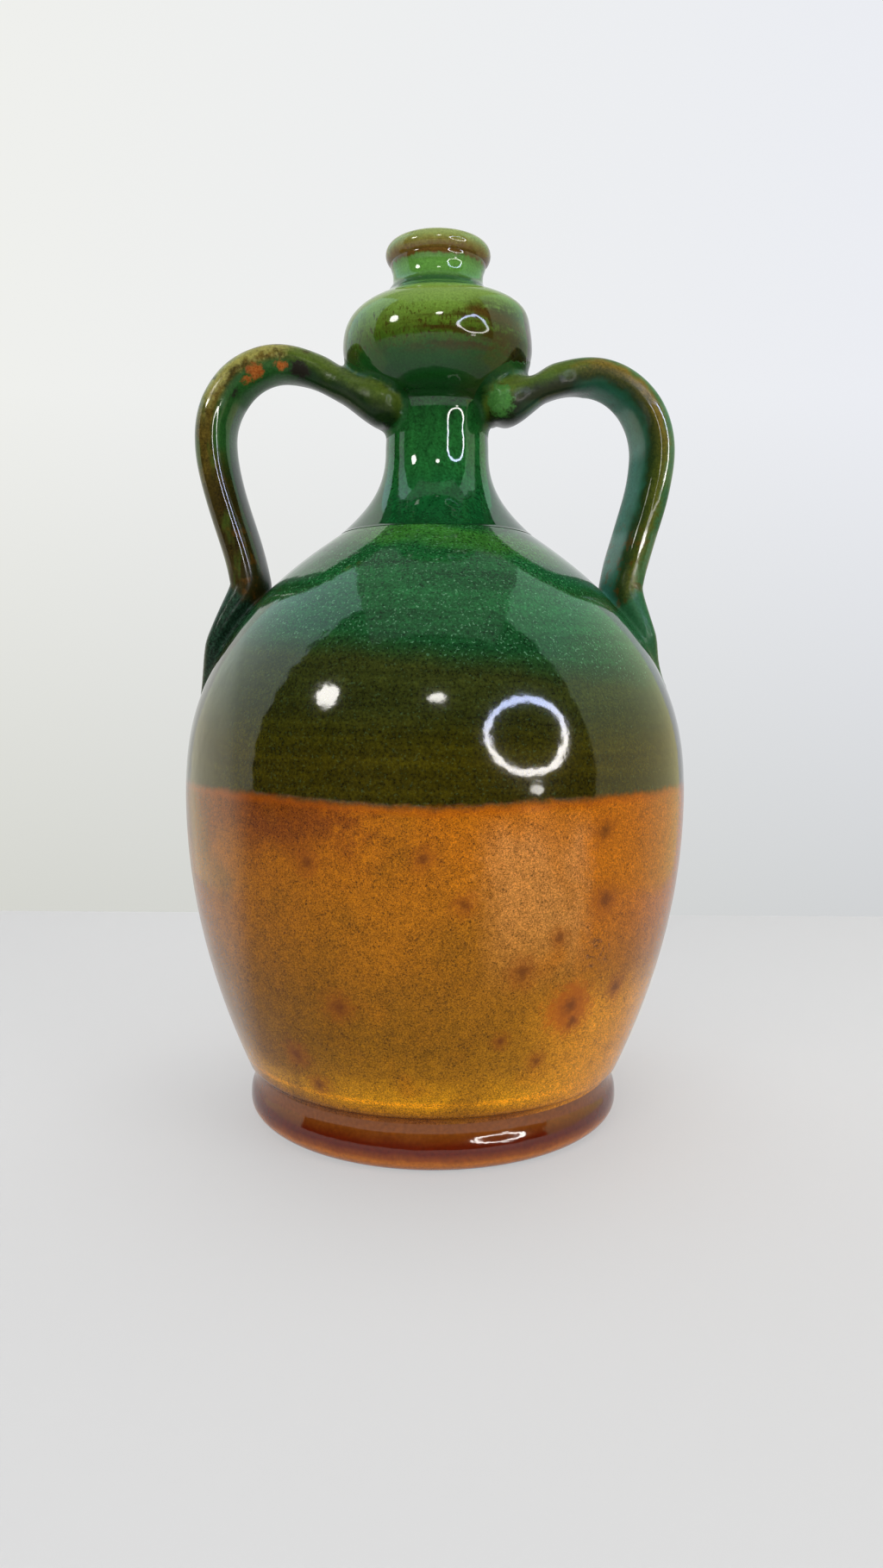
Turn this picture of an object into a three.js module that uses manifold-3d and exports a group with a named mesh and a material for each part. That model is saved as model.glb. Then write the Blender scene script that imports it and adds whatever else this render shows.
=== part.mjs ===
// Two-handled pottery jug with a narrow mouth.
// A hollow thrown body stands on a turned foot ring. A waisted neck, a hollow knop and a mouth
// with a rolled lip are luted on top of each other, and two pulled handles run from the neck
// to the shoulder. Millimetres, +Z up, origin at the centre of the foot ring's underside.
import * as THREE from 'three';
import { mergeVertices } from 'three/addons/utils/BufferGeometryUtils.js';
import Module from 'manifold-3d';

const wasm = await Module();
wasm.setup();

// Facets
const ROUND_SEGMENTS = 48;
const BODY_CURVE_STEPS = 8;
const SMALL_CURVE_STEPS = 5;
const ROLL_STEPS = 8;
const LIP_STEPS = 11;
const FLOOR_CORNER_STEPS = 3;
const HANDLE_STEPS = 34;
const HANDLE_SIDES = 14;

// Luted joints
const SEAM_GAP = 0.3;
const SEAM_GROOVE = 1.3;

// Foot ring
const FOOT_RADIUS = 61;
const FOOT_HEIGHT = 14.5;
const FOOT_ROLL = 5;
const FOOT_BORE = 46;
const FOOT_EDGE = 1.5;

// Body
const BODY_HEIGHT = 172;
const BODY_RADIUS = 80.6;
const BODY_BASE_RADIUS = 61;
const BELLY_RISE = 87.5;
const LOWER_FLARE = 23.5;
const LOWER_FLARE_REACH = 24.5;
const LOWER_BELLY_REACH = 34;
const UPPER_BELLY_REACH = 46.5;
const SHOULDER_SLOPE = 56;
const SHOULDER_REACH = 29;
const BODY_WALL = 5.5;
const BODY_FLOOR = 7;
const FLOOR_CORNER = 9;
const BODY_OPENING = 23;
const OPENING_LIP = 4;

// Neck
const NECK_HEIGHT = 40;
const NECK_FOOT_RADIUS = 31;
const NECK_RADIUS = 16.6;
const NECK_WAIST_RISE = 27;
const NECK_FOOT_SLOPE = 47;
const NECK_REACH = 12;
const NECK_TOP_SLOPE = 14;
const NECK_TOP_REACH = 4;
const NECK_TOP_RADIUS = 17.7;
const NECK_BORE = 11.5;

// Knop
const KNOP_HEIGHT = 35.5;
const KNOP_RADIUS = 30.2;
const KNOP_EQUATOR_RISE = 18;
const KNOP_FOOT_SLOPE = 62;
const KNOP_LOWER_REACH = 10;
const KNOP_UPPER_REACH = 7.5;
const KNOP_TOP_SLOPE = 61;
const KNOP_TOP_REACH = 8;
const KNOP_WALL = 5.5;

// Mouth
const MOUTH_HEIGHT = 15;
const MOUTH_BORE = 9;
const COLLAR_FOOT_RADIUS = 15.6;
const COLLAR_RADIUS = 14.2;
const COLLAR_SLOPE = 30;
const LIP_RADIUS = 16;
const LIP_HEIGHT = 8.2;

// Handles, both
const HANDLE_THICKNESS = 13.2;
const HANDLE_WIDTH = 17;
const PRESSED_END_HEIGHT = 14.5;
const PRESSED_END_LENGTH = 29;
const HANDLE_ROOT_RADIUS = 10;
const HANDLE_ROOT_DROP = 2;
const HANDLE_ROOT_SLOPE = 24;
const SHOULDER_STANDOFF = 9.5;
const TAIL_WIDTH = 23;
const TAIL_BEND = 0.52;
const FOOT_LEAN = 9;
const TAIL_TIP_WIDTH = 10;
const TAIL_TIP_THICKNESS = 3;

// Left handle
const LEFT_ARCH_RISE = 13.6;
const LEFT_ARCH_REACH = 49.5;
const LEFT_REACH = 70.9;
const LEFT_REACH_DROP = 23.5;
const LEFT_FOOT_DROP = 15;
const LEFT_TAIL_DROP = 39;
const LEFT_TAIL_PROUD = 4.4;
const LEFT_PRESSED_WIDTH = 35;

// Right handle
const RIGHT_ARCH_RISE = 10.4;
const RIGHT_ARCH_REACH = 47.5;
const RIGHT_REACH = 69.2;
const RIGHT_REACH_DROP = 24;
const RIGHT_FOOT_DROP = 15;
const RIGHT_TAIL_DROP = 34;
const RIGHT_TAIL_PROUD = 2;
const RIGHT_PRESSED_WIDTH = 29;

// Heights of the seams, from the ground up
const bodyBase = FOOT_HEIGHT + SEAM_GAP;
const bodyTop = bodyBase + BODY_HEIGHT;
const neckBase = bodyTop + SEAM_GAP;
const neckTop = neckBase + NECK_HEIGHT;
const knopBase = neckTop + SEAM_GAP;
const knopTop = knopBase + KNOP_HEIGHT;
const mouthBase = knopTop + SEAM_GAP;
const mouthTop = mouthBase + MOUTH_HEIGHT;

// Share of a quarter circle's radius at which a Bezier handle makes it round
const ROUND = 0.5523;

const point = (radius, height) => new THREE.Vector2(radius, height);

// A point at a distance from a start, at an angle in degrees from straight up towards the outside
function heading(start, angle, distance) {
  const turn = THREE.MathUtils.degToRad(angle);
  return point(start.x + Math.sin(turn) * distance, start.y + Math.cos(turn) * distance);
}

function bezier(start, control, otherControl, end, steps = SMALL_CURVE_STEPS) {
  return new THREE.CubicBezierCurve(start, control, otherControl, end).getPoints(steps);
}

// An arc of an ellipse in the profile plane, angles in degrees, counter-clockwise if to > from
function ellipse(centre, radius, halfHeight, from, to, steps) {
  const arc = new THREE.EllipseCurve(
    centre.x, centre.y, radius, halfHeight,
    THREE.MathUtils.degToRad(from), THREE.MathUtils.degToRad(to), to < from,
  );
  return arc.getPoints(steps);
}

// Shift an outline that runs upwards towards the axis, square to the wall
function inset(outline, wall) {
  return outline.map((here, index) => {
    const before = outline[Math.max(index - 1, 0)];
    const after = outline[Math.min(index + 1, outline.length - 1)];
    const along = after.clone().sub(before).normalize();
    return point(here.x - along.y * wall, here.y + along.x * wall);
  });
}

// Join stretches of an outline and leave out points that repeat the one before
function outlineOf(...stretches) {
  const all = stretches.flat();
  return all.filter((here, index) => index === 0 || here.distanceTo(all[index - 1]) > 0.01);
}

function revolve(outline) {
  const geometry = new THREE.LatheGeometry(outline, ROUND_SEGMENTS);
  geometry.rotateX(Math.PI / 2);
  return geometry;
}

// A ring's outline closes on itself
function revolveRing(outline) {
  return revolve([...outline, outline[0].clone()]);
}

// Radius of an outline that runs upwards, at a height
function radiusAt(outline, height) {
  const next = outline.findIndex((here) => here.y >= height);
  const above = outline[next];
  const below = outline[next - 1];
  const share = (height - below.y) / (above.y - below.y);
  return THREE.MathUtils.lerp(below.x, above.x, share);
}

// Outer faces of the body, neck and knop, each running upwards
function bodyOuter() {
  const edge = point(BODY_BASE_RADIUS - SEAM_GROOVE * 2, bodyBase);
  const foot = point(BODY_BASE_RADIUS, bodyBase + SEAM_GROOVE);
  const belly = point(BODY_RADIUS, FOOT_HEIGHT + BELLY_RISE);
  const land = point(NECK_FOOT_RADIUS + SEAM_GROOVE, bodyTop - SEAM_GROOVE / 2);
  const aboveFoot = heading(foot, LOWER_FLARE, LOWER_FLARE_REACH);
  const belowBelly = heading(belly, 180, LOWER_BELLY_REACH);
  const aboveBelly = heading(belly, 0, UPPER_BELLY_REACH);
  const belowLand = heading(land, 180 - SHOULDER_SLOPE, SHOULDER_REACH);
  return outlineOf(
    [edge],
    bezier(foot, aboveFoot, belowBelly, belly, BODY_CURVE_STEPS),
    bezier(belly, aboveBelly, belowLand, land, BODY_CURVE_STEPS),
    [point(NECK_FOOT_RADIUS - SEAM_GROOVE, bodyTop)],
  );
}

function neckOuter() {
  const foot = point(NECK_FOOT_RADIUS, neckBase + SEAM_GROOVE / 2);
  const waist = point(NECK_RADIUS, neckBase + NECK_WAIST_RISE);
  const top = point(NECK_TOP_RADIUS, neckTop);
  return outlineOf(
    [point(NECK_FOOT_RADIUS - SEAM_GROOVE, neckBase)],
    bezier(foot, heading(foot, -NECK_FOOT_SLOPE, NECK_REACH), heading(waist, 180, NECK_REACH), waist),
    bezier(waist, heading(waist, 0, NECK_TOP_REACH), heading(top, 180 + NECK_TOP_SLOPE, NECK_TOP_REACH), top),
  );
}

function knopOuter() {
  const foot = point(NECK_TOP_RADIUS, knopBase);
  const equator = point(KNOP_RADIUS, knopBase + KNOP_EQUATOR_RISE);
  const top = point(COLLAR_FOOT_RADIUS, knopTop);
  const aboveFoot = heading(foot, KNOP_FOOT_SLOPE, KNOP_LOWER_REACH);
  const belowEquator = heading(equator, 180, KNOP_LOWER_REACH);
  const aboveEquator = heading(equator, 0, KNOP_UPPER_REACH);
  const belowTop = heading(top, 180 - KNOP_TOP_SLOPE, KNOP_TOP_REACH);
  return outlineOf(
    bezier(foot, aboveFoot, belowEquator, equator),
    bezier(equator, aboveEquator, belowTop, top),
  );
}

// The foot ring: a flat standing face, a half-round roll outside and a plain bore
function makeFootRing() {
  const rollRadius = FOOT_RADIUS - FOOT_ROLL;
  const rollCentre = point(rollRadius, FOOT_HEIGHT / 2);
  return revolveRing(outlineOf(
    [point(FOOT_BORE + FOOT_EDGE, 0)],
    ellipse(rollCentre, FOOT_ROLL, FOOT_HEIGHT / 2, -90, 90, ROLL_STEPS),
    [point(FOOT_BORE, FOOT_HEIGHT), point(FOOT_BORE, FOOT_EDGE)],
  ));
}

// The body: the outer face, an opening under the neck and an even wall down to the floor
function makeBody() {
  const outer = bodyOuter();
  const floor = bodyBase + BODY_FLOOR;
  const lip = bodyTop - OPENING_LIP;
  const wallFace = inset(outer, BODY_WALL);
  const cornerTop = floor + FLOOR_CORNER;
  const cornerCentre = point(radiusAt(wallFace, cornerTop) - FLOOR_CORNER, cornerTop);
  const inner = wallFace.filter((here) => here.x > BODY_OPENING && here.y > cornerTop && here.y < lip);
  return revolve(outlineOf(
    [point(0, bodyBase)],
    outer,
    [point(BODY_OPENING, bodyTop), point(BODY_OPENING, lip)],
    inner.reverse(),
    ellipse(cornerCentre, FLOOR_CORNER, FLOOR_CORNER, 0, -90, FLOOR_CORNER_STEPS),
    [point(0, floor)],
  ));
}

// The neck: a bore that opens out below to the body's opening
function makeNeck() {
  const waist = point(NECK_BORE, neckBase + NECK_WAIST_RISE);
  const foot = point(BODY_OPENING, neckBase);
  const aboveFoot = heading(foot, -NECK_FOOT_SLOPE, NECK_REACH);
  const bore = bezier(foot, aboveFoot, heading(waist, 180, NECK_REACH), waist);
  return revolveRing(outlineOf(neckOuter(), [point(NECK_BORE, neckTop)], bore.reverse()));
}

// The knop: an even wall, with the neck's bore below and the mouth's bore above
function makeKnop() {
  const outer = knopOuter();
  const inner = inset(outer, KNOP_WALL).filter(
    (here) => here.x > NECK_BORE && here.y > knopBase + KNOP_WALL / 2 && here.y < knopTop - KNOP_WALL / 2,
  );
  return revolveRing(outlineOf(
    outer,
    [point(MOUTH_BORE, knopTop), point(MOUTH_BORE, knopTop - KNOP_WALL / 2)],
    inner.reverse(),
    [point(NECK_BORE, knopBase + KNOP_WALL / 2), point(NECK_BORE, knopBase)],
  ));
}

// The mouth: a waisted collar, and a lip rolled over into an oval section
function makeMouth() {
  const lipHalf = (LIP_RADIUS - MOUTH_BORE) / 2;
  const lipCentre = point(MOUTH_BORE + lipHalf, mouthTop - LIP_HEIGHT / 2);
  const crease = THREE.MathUtils.radToDeg(Math.acos((COLLAR_RADIUS - lipCentre.x) / lipHalf));
  const foot = point(COLLAR_FOOT_RADIUS, mouthBase);
  const waist = point(COLLAR_RADIUS, mouthTop - LIP_HEIGHT);
  const waistReach = (waist.y - foot.y) * ROUND;
  const aboveFoot = heading(foot, -COLLAR_SLOPE, waistReach);
  const collar = bezier(foot, aboveFoot, heading(waist, 180, waistReach), waist);
  return revolveRing(outlineOf(
    collar,
    ellipse(lipCentre, lipHalf, LIP_HEIGHT / 2, -crease, 180, LIP_STEPS),
    [point(MOUTH_BORE, mouthBase)],
  ));
}

// Centre line of a handle, drawn in the plane of radius and height and set out to its side:
// out of the neck, over the arch, down to the shoulder and along the shoulder as a tail
function handlePath(handle) {
  const shoulder = bodyOuter();
  const root = point(HANDLE_ROOT_RADIUS, knopBase - HANDLE_ROOT_DROP);
  const arch = point(handle.archReach, knopBase + handle.archRise);
  const outermost = point(handle.reach, arch.y - handle.reachDrop);
  const footHeight = neckBase - handle.footDrop;
  const foot = point(radiusAt(shoulder, footHeight) + SHOULDER_STANDOFF, footHeight);
  const tipHeight = footHeight - handle.tailDrop;
  const tip = point(radiusAt(shoulder, tipHeight), tipHeight);
  const bendHeight = THREE.MathUtils.lerp(footHeight, tipHeight, TAIL_BEND);
  const bend = point(radiusAt(shoulder, bendHeight) + handle.tailProud, bendHeight);

  const rootReach = (arch.x - root.x) / 3;
  const fall = outermost.y - foot.y;
  const stretches = [
    [root, heading(root, 90 - HANDLE_ROOT_SLOPE, rootReach), heading(arch, -90, rootReach), arch],
    [
      arch, heading(arch, 90, (outermost.x - arch.x) * ROUND),
      heading(outermost, 0, handle.reachDrop * ROUND), outermost,
    ],
    [outermost, heading(outermost, 180, fall / 3), heading(foot, FOOT_LEAN, fall / 3), foot],
    [foot, heading(foot, 180 + FOOT_LEAN, HANDLE_THICKNESS / 2), bend, tip],
  ];
  const toSide = (here) => new THREE.Vector3(handle.side * here.x, 0, here.y);
  const path = new THREE.CurvePath();
  stretches.forEach((stretch) => path.add(new THREE.CubicBezierCurve3(...stretch.map(toSide))));
  return path;
}

// Places along the handle, as shares of its length, with the section's thickness and width there:
// pressed wide on the neck, even over the arch, spread on the shoulder and thin at the tail's tip
function handleStations(handle, path) {
  const lengths = path.getCurveLengths();
  const total = lengths[lengths.length - 1];
  const foot = lengths[2] / total;
  return [
    { at: 0, thickness: PRESSED_END_HEIGHT, width: handle.pressedWidth },
    { at: PRESSED_END_LENGTH / total, thickness: HANDLE_THICKNESS, width: HANDLE_WIDTH },
    { at: foot, thickness: HANDLE_THICKNESS, width: HANDLE_WIDTH },
    { at: (foot + 1) / 2, thickness: HANDLE_THICKNESS, width: TAIL_WIDTH },
    { at: 1, thickness: TAIL_TIP_THICKNESS, width: TAIL_TIP_WIDTH },
  ];
}

// Section at a share of the handle's length, eased from one station to the next
function sectionAt(stations, share) {
  const next = Math.max(1, stations.findIndex((station) => station.at >= share));
  const [from, to] = [stations[next - 1], stations[next]];
  const eased = THREE.MathUtils.smoothstep(share, from.at, to.at);
  return {
    thickness: THREE.MathUtils.lerp(from.thickness, to.thickness, eased),
    width: THREE.MathUtils.lerp(from.width, to.width, eased),
  };
}

// Loft an oval section along the handle's centre line and close both ends
function loftHandle(handle) {
  const path = handlePath(handle);
  const stations = handleStations(handle, path);
  const front = new THREE.Vector3(0, 1, 0);
  const positions = [];
  const ends = [];
  for (let step = 0; step <= HANDLE_STEPS; step += 1) {
    const share = step / HANDLE_STEPS;
    const centre = path.getPointAt(share);
    const outward = new THREE.Vector3().crossVectors(front, path.getTangentAt(share));
    const { thickness, width } = sectionAt(stations, share);
    for (let side = 0; side < HANDLE_SIDES; side += 1) {
      const turn = (side / HANDLE_SIDES) * Math.PI * 2;
      const corner = centre.clone()
        .addScaledVector(outward, (Math.cos(turn) * thickness) / 2)
        .addScaledVector(front, (Math.sin(turn) * width) / 2);
      positions.push(...corner.toArray());
    }
    if (step === 0 || step === HANDLE_STEPS) ends.push(centre);
  }
  ends.forEach((centre) => positions.push(...centre.toArray()));

  const rootCentre = (HANDLE_STEPS + 1) * HANDLE_SIDES;
  const lastRing = HANDLE_STEPS * HANDLE_SIDES;
  const triangles = [];
  for (let side = 0; side < HANDLE_SIDES; side += 1) {
    const nextSide = (side + 1) % HANDLE_SIDES;
    for (let ring = 0; ring < lastRing; ring += HANDLE_SIDES) {
      const above = ring + HANDLE_SIDES;
      triangles.push(ring + side, ring + nextSide, above + nextSide);
      triangles.push(ring + side, above + nextSide, above + side);
    }
    triangles.push(rootCentre, nextSide, side);
    triangles.push(rootCentre + 1, lastRing + side, lastRing + nextSide);
  }
  const geometry = new THREE.BufferGeometry();
  geometry.setAttribute('position', new THREE.Float32BufferAttribute(positions, 3));
  geometry.setIndex(triangles);
  return geometry;
}

function toSolid(geometry) {
  const bare = geometry.clone();
  bare.deleteAttribute('normal');
  bare.deleteAttribute('uv');
  const merged = mergeVertices(bare);
  const index = Array.from(merged.index.array);
  const triangles = [];
  for (let first = 0; first < index.length; first += 3) {
    const [a, b, c] = index.slice(first, first + 3);
    if (a !== b && b !== c && c !== a) triangles.push(a, b, c);
  }
  return new wasm.Manifold(new wasm.Mesh({
    numProp: 3,
    vertProperties: new Float32Array(merged.attributes.position.array),
    triVerts: new Uint32Array(triangles),
  }));
}

function toGeometry(solid) {
  const mesh = solid.getMesh();
  const geometry = new THREE.BufferGeometry();
  geometry.setAttribute('position', new THREE.BufferAttribute(mesh.vertProperties, 3));
  geometry.setIndex(new THREE.BufferAttribute(mesh.triVerts, 1));
  geometry.computeVertexNormals();
  return geometry;
}

// The pot as one filled form, a seam's gap larger all round, to seat the handles on
function pottedForm() {
  const outline = outlineOf(
    inset(bodyOuter(), -SEAM_GAP),
    inset(neckOuter(), -SEAM_GAP),
    inset(knopOuter(), -SEAM_GAP),
  );
  const foot = outline[0];
  const top = outline[outline.length - 1];
  return revolve(outlineOf([point(0, foot.y)], outline, [point(0, top.y)]));
}

function makeHandle(handle) {
  return toGeometry(toSolid(loftHandle(handle)).subtract(toSolid(pottedForm())));
}

const glaze = (color, roughness) => new THREE.MeshStandardMaterial({ color, roughness, metalness: 0 });
const footGlaze = glaze('#7a3512', 0.2);
const amberGlaze = glaze('#a86412', 0.22);
const greenGlaze = glaze('#1d6b3f', 0.15);
const oliveGlaze = glaze('#55691c', 0.18);
const handleGlaze = glaze('#3f4a1e', 0.2);

const leftHandle = {
  side: -1,
  archRise: LEFT_ARCH_RISE,
  archReach: LEFT_ARCH_REACH,
  reach: LEFT_REACH,
  reachDrop: LEFT_REACH_DROP,
  footDrop: LEFT_FOOT_DROP,
  tailDrop: LEFT_TAIL_DROP,
  tailProud: LEFT_TAIL_PROUD,
  pressedWidth: LEFT_PRESSED_WIDTH,
};
const rightHandle = {
  side: 1,
  archRise: RIGHT_ARCH_RISE,
  archReach: RIGHT_ARCH_REACH,
  reach: RIGHT_REACH,
  reachDrop: RIGHT_REACH_DROP,
  footDrop: RIGHT_FOOT_DROP,
  tailDrop: RIGHT_TAIL_DROP,
  tailProud: RIGHT_TAIL_PROUD,
  pressedWidth: RIGHT_PRESSED_WIDTH,
};

const jug = new THREE.Group();
jug.name = 'pottery_jug';

function addPiece(name, geometry, material) {
  const piece = new THREE.Mesh(geometry, material);
  piece.name = name;
  jug.add(piece);
}

addPiece('foot_ring', makeFootRing(), footGlaze);
addPiece('body', makeBody(), amberGlaze);
addPiece('neck', makeNeck(), greenGlaze);
addPiece('knop', makeKnop(), oliveGlaze);
addPiece('mouth', makeMouth(), oliveGlaze);
addPiece('left_handle', makeHandle(leftHandle), handleGlaze);
addPiece('right_handle', makeHandle(rightHandle), handleGlaze);

export default jug;
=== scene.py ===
"""Two-handled pottery jug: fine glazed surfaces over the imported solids, a stage, lamps and a camera.

Shapes and patterns are worked out in millimetres, in the frame of the solids, and the meshes are
written in metres. Outlines are lists of (radius, height)."""
import math
from dataclasses import dataclass
from itertools import product

import bpy
import numpy as np
from mathutils import Matrix, Vector


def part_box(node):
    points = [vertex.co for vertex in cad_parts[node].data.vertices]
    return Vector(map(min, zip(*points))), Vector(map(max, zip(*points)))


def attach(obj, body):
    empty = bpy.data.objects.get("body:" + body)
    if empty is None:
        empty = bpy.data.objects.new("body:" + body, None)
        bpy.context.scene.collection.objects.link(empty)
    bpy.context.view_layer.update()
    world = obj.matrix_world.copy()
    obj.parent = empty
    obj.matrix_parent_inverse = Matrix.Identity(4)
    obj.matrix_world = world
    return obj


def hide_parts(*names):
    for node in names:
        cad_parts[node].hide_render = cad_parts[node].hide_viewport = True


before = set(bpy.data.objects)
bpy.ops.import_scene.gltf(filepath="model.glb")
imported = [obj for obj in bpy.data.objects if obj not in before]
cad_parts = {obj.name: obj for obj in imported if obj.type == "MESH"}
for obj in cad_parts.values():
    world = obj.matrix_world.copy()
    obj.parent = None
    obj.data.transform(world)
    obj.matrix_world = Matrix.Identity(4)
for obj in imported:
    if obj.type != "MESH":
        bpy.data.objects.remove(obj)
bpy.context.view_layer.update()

MM = 0.001


def heights(node):
    """Lowest and highest point of a solid."""
    low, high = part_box(node)
    return low.z / MM, high.z / MM


def reach(node):
    """Largest radius of a turned solid."""
    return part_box(node)[1].x / MM


def seam(below, above):
    """Height of the joint between two solids, in the middle of their gap."""
    return (heights(below)[1] + heights(above)[0]) / 2


# Heights of the joints and the largest radii, from the solids
FOOT_SEAM = seam("foot_ring", "body")
NECK_SEAM = seam("body", "neck")
KNOP_SEAM = seam("neck", "knop")
MOUTH_SEAM = seam("knop", "mouth")
RIM = heights("mouth")[1]
FOOT_RADIUS = reach("foot_ring")
BODY_RADIUS = reach("body")
NECK_FOOT_RADIUS = reach("neck")
KNOP_RADIUS = reach("knop")
LIP_RADIUS = reach("mouth")

# Foot ring
FOOT_BORE = 46
FOOT_EDGE = 1.5
FOOT_STAND_RADIUS = 56.5
FOOT_STAND_SLOPE = 72
FOOT_ROLL_HEIGHT = 5
COVE_RADIUS = 59.1

# Body
GROOVE = 0.35
BODY_BASE_RADIUS = 61.7
BODY_EDGE_RISE = 2.9
BODY_EDGE_SLOPE = 52
BELLY_HEIGHT = 102
LOWER_FLARE = 23.5
LOWER_FLARE_REACH = 23
LOWER_BELLY_REACH = 34
UPPER_BELLY_REACH = 46.5
SHOULDER_SLOPE = 56
SHOULDER_REACH = 29
BODY_WALL = 5.5
BODY_FLOOR = 7
FLOOR_CORNER = 9
BODY_OPENING = 23
OPENING_LIP = 4

# Neck
NECK_RADIUS = 16.6
NECK_WAIST_RISE = 27
NECK_FOOT_SLOPE = 47
NECK_REACH = 12
NECK_TOP_RADIUS = 17.7
NECK_TOP_SLOPE = 38
NECK_TOP_REACH = 3.2
NECK_BORE = 11.5

# Knop
KNOP_EQUATOR_RISE = 18
KNOP_FOOT_SLOPE = 62
KNOP_FOOT_CURVE = 3
KNOP_FOOT_REACH = 5
KNOP_LOWER_REACH = 6.4
KNOP_UPPER_REACH = 7.5
KNOP_SHELF_RADIUS = 20.8
KNOP_SHELF_DROP = 3.5
KNOP_TOP_SLOPE = 63
KNOP_TOP_REACH = 7
KNOP_TOP_CURVE = 2.2
KNOP_WALL = 5.5

# Mouth
MOUTH_BORE = 9
COLLAR_FOOT_RADIUS = 16
COLLAR_RADIUS = 14.3
COLLAR_FLARE = 0.8
COLLAR_SLOPE = 34
LIP_HEIGHT = 7.1
LIP_SPREAD = 0.7

# Handles, both
HANDLE_WIDTH = 18
ROOT_POWER = 2.6
ROOT_TAPER = -0.5
ROOT_WIDTH = 38
ROOT_LENGTH = 24
ROOT_SLOPE = 29
TAPER_START = 0.4 * ROOT_LENGTH
TAPER_END = 1.4 * ROOT_LENGTH
TWIST_END = 2.5 * ROOT_LENGTH
DIP_SHARES = (0, 0.4, 1, 2)
PRESSED_LENGTH = 13
SHOULDER_STANDOFF = 9.5
FOOT_LEAN = 9
TAIL_WIDTH = 24
TAIL_BEND = 0.52
TAIL_TIP_WIDTH = 4
TAIL_TIP_THICKNESS = 3
TAIL_THINNING = 0.76
SHOULDER_FILLET = 2.5
FEATHER = 0.03
SINK = 1.3
RIPPLE = 0.06
CHIP_DEPTH = 0.7
CHIP_RIM = 1.5

# Fineness of the meshes
TURN_STEPS = 224
SHARP_ANGLE = 50
HANDLE_STEPS = 150
HANDLE_PITCH = 0.65
GRID_MARGIN = 18
ROUND = 0.5523

# Unevenness left by the potter's hands
OVAL = 0.25
OVAL_TURN = 0.6
THREE_SIDED = 0.14
THREE_SIDED_CLIMB = 60
THROWING_RIDGE = 0.012
THROWING_PITCH = 6.3
THROWING_BEAT = 11
BELLY_SWELL = 0.45
BELLY_SWELL_HEIGHT = 127
BELLY_SWELL_REACH = 17
KNOP_SWELL = 2.8
KNOP_SWELL_HEIGHT = 258.5
KNOP_SWELL_REACH = 5
KNOP_SWELL_END = 3


# Outlines


def point(radius, height):
    return np.array([radius, height], float)


def heading(start, angle, distance):
    """A point at a distance from a start, at an angle in degrees from straight up to the outside."""
    turn = math.radians(angle)
    return start + distance * point(math.sin(turn), math.cos(turn))


def bezier(start, control, other, end, steps):
    share = np.linspace(0, 1, steps + 1)[:, None]
    back = 1 - share
    return (
        back**3 * start
        + 3 * back**2 * share * control
        + 3 * back * share**2 * other
        + share**3 * end
    )


def curve(start, leave, first_reach, end, arrive, last_reach, steps):
    """A bezier whose controls lie at angles and distances from its start and from its end."""
    first = heading(start, leave, first_reach)
    last = heading(end, arrive, last_reach)
    return bezier(start, first, last, end, steps)


def ellipse(centre, radius, half_height, first, last, steps=24):
    turn = np.radians(np.linspace(first, last, steps + 1))[:, None]
    return centre + np.hstack([radius * np.cos(turn), half_height * np.sin(turn)])


def straight(start, end, steps):
    return start + np.linspace(0, 1, steps + 1)[:, None] * (end - start)


def joined(*stretches):
    """One outline from stretches, without points that repeat the one before."""
    line = np.vstack(stretches)
    step = np.linalg.norm(np.diff(line, axis=0), axis=1)
    return line[np.concatenate([[True], step > 1e-4])]


def inset(outline, wall):
    """An outline that runs upwards, shifted towards the axis square to the wall."""
    along = np.gradient(outline, axis=0)
    along /= np.linalg.norm(along, axis=1)[:, None]
    return outline + wall * np.stack([-along[:, 1], along[:, 0]], axis=1)


def foot_outline():
    """A flat standing face, a roll, and the lower half of the cove under the body."""
    stand = point(FOOT_STAND_RADIUS, 0)
    roll = point(FOOT_RADIUS, FOOT_ROLL_HEIGHT)
    cove = point(COVE_RADIUS, FOOT_SEAM)
    below = FOOT_ROLL_HEIGHT * ROUND
    above = (FOOT_SEAM - FOOT_ROLL_HEIGHT) * ROUND
    return joined(
        straight(point(FOOT_BORE + FOOT_EDGE, 0), stand, 8),
        curve(stand, FOOT_STAND_SLOPE, below, roll, 180, below, 24),
        curve(roll, 0, above, cove, 180, above, 28),
        straight(point(FOOT_BORE, FOOT_SEAM), point(FOOT_BORE, FOOT_EDGE), 8),
    )


def body_outer():
    cove = point(COVE_RADIUS, FOOT_SEAM)
    foot = point(BODY_BASE_RADIUS, FOOT_SEAM + BODY_EDGE_RISE)
    half_rise = BODY_EDGE_RISE / 2
    belly = point(BODY_RADIUS, BELLY_HEIGHT)
    land = point(NECK_FOOT_RADIUS + GROOVE, NECK_SEAM - GROOVE / 2)
    groove = point(NECK_FOOT_RADIUS - GROOVE, NECK_SEAM)
    turn_in = 180 - SHOULDER_SLOPE
    return joined(
        curve(cove, 0, half_rise, foot, 180 + BODY_EDGE_SLOPE, half_rise, 12),
        curve(foot, LOWER_FLARE, LOWER_FLARE_REACH, belly, 180, LOWER_BELLY_REACH, 72),
        curve(belly, 0, UPPER_BELLY_REACH, land, turn_in, SHOULDER_REACH, 80),
        curve(land, turn_in + 180, GROOVE, groove, 90, GROOVE, 8),
    )


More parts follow.
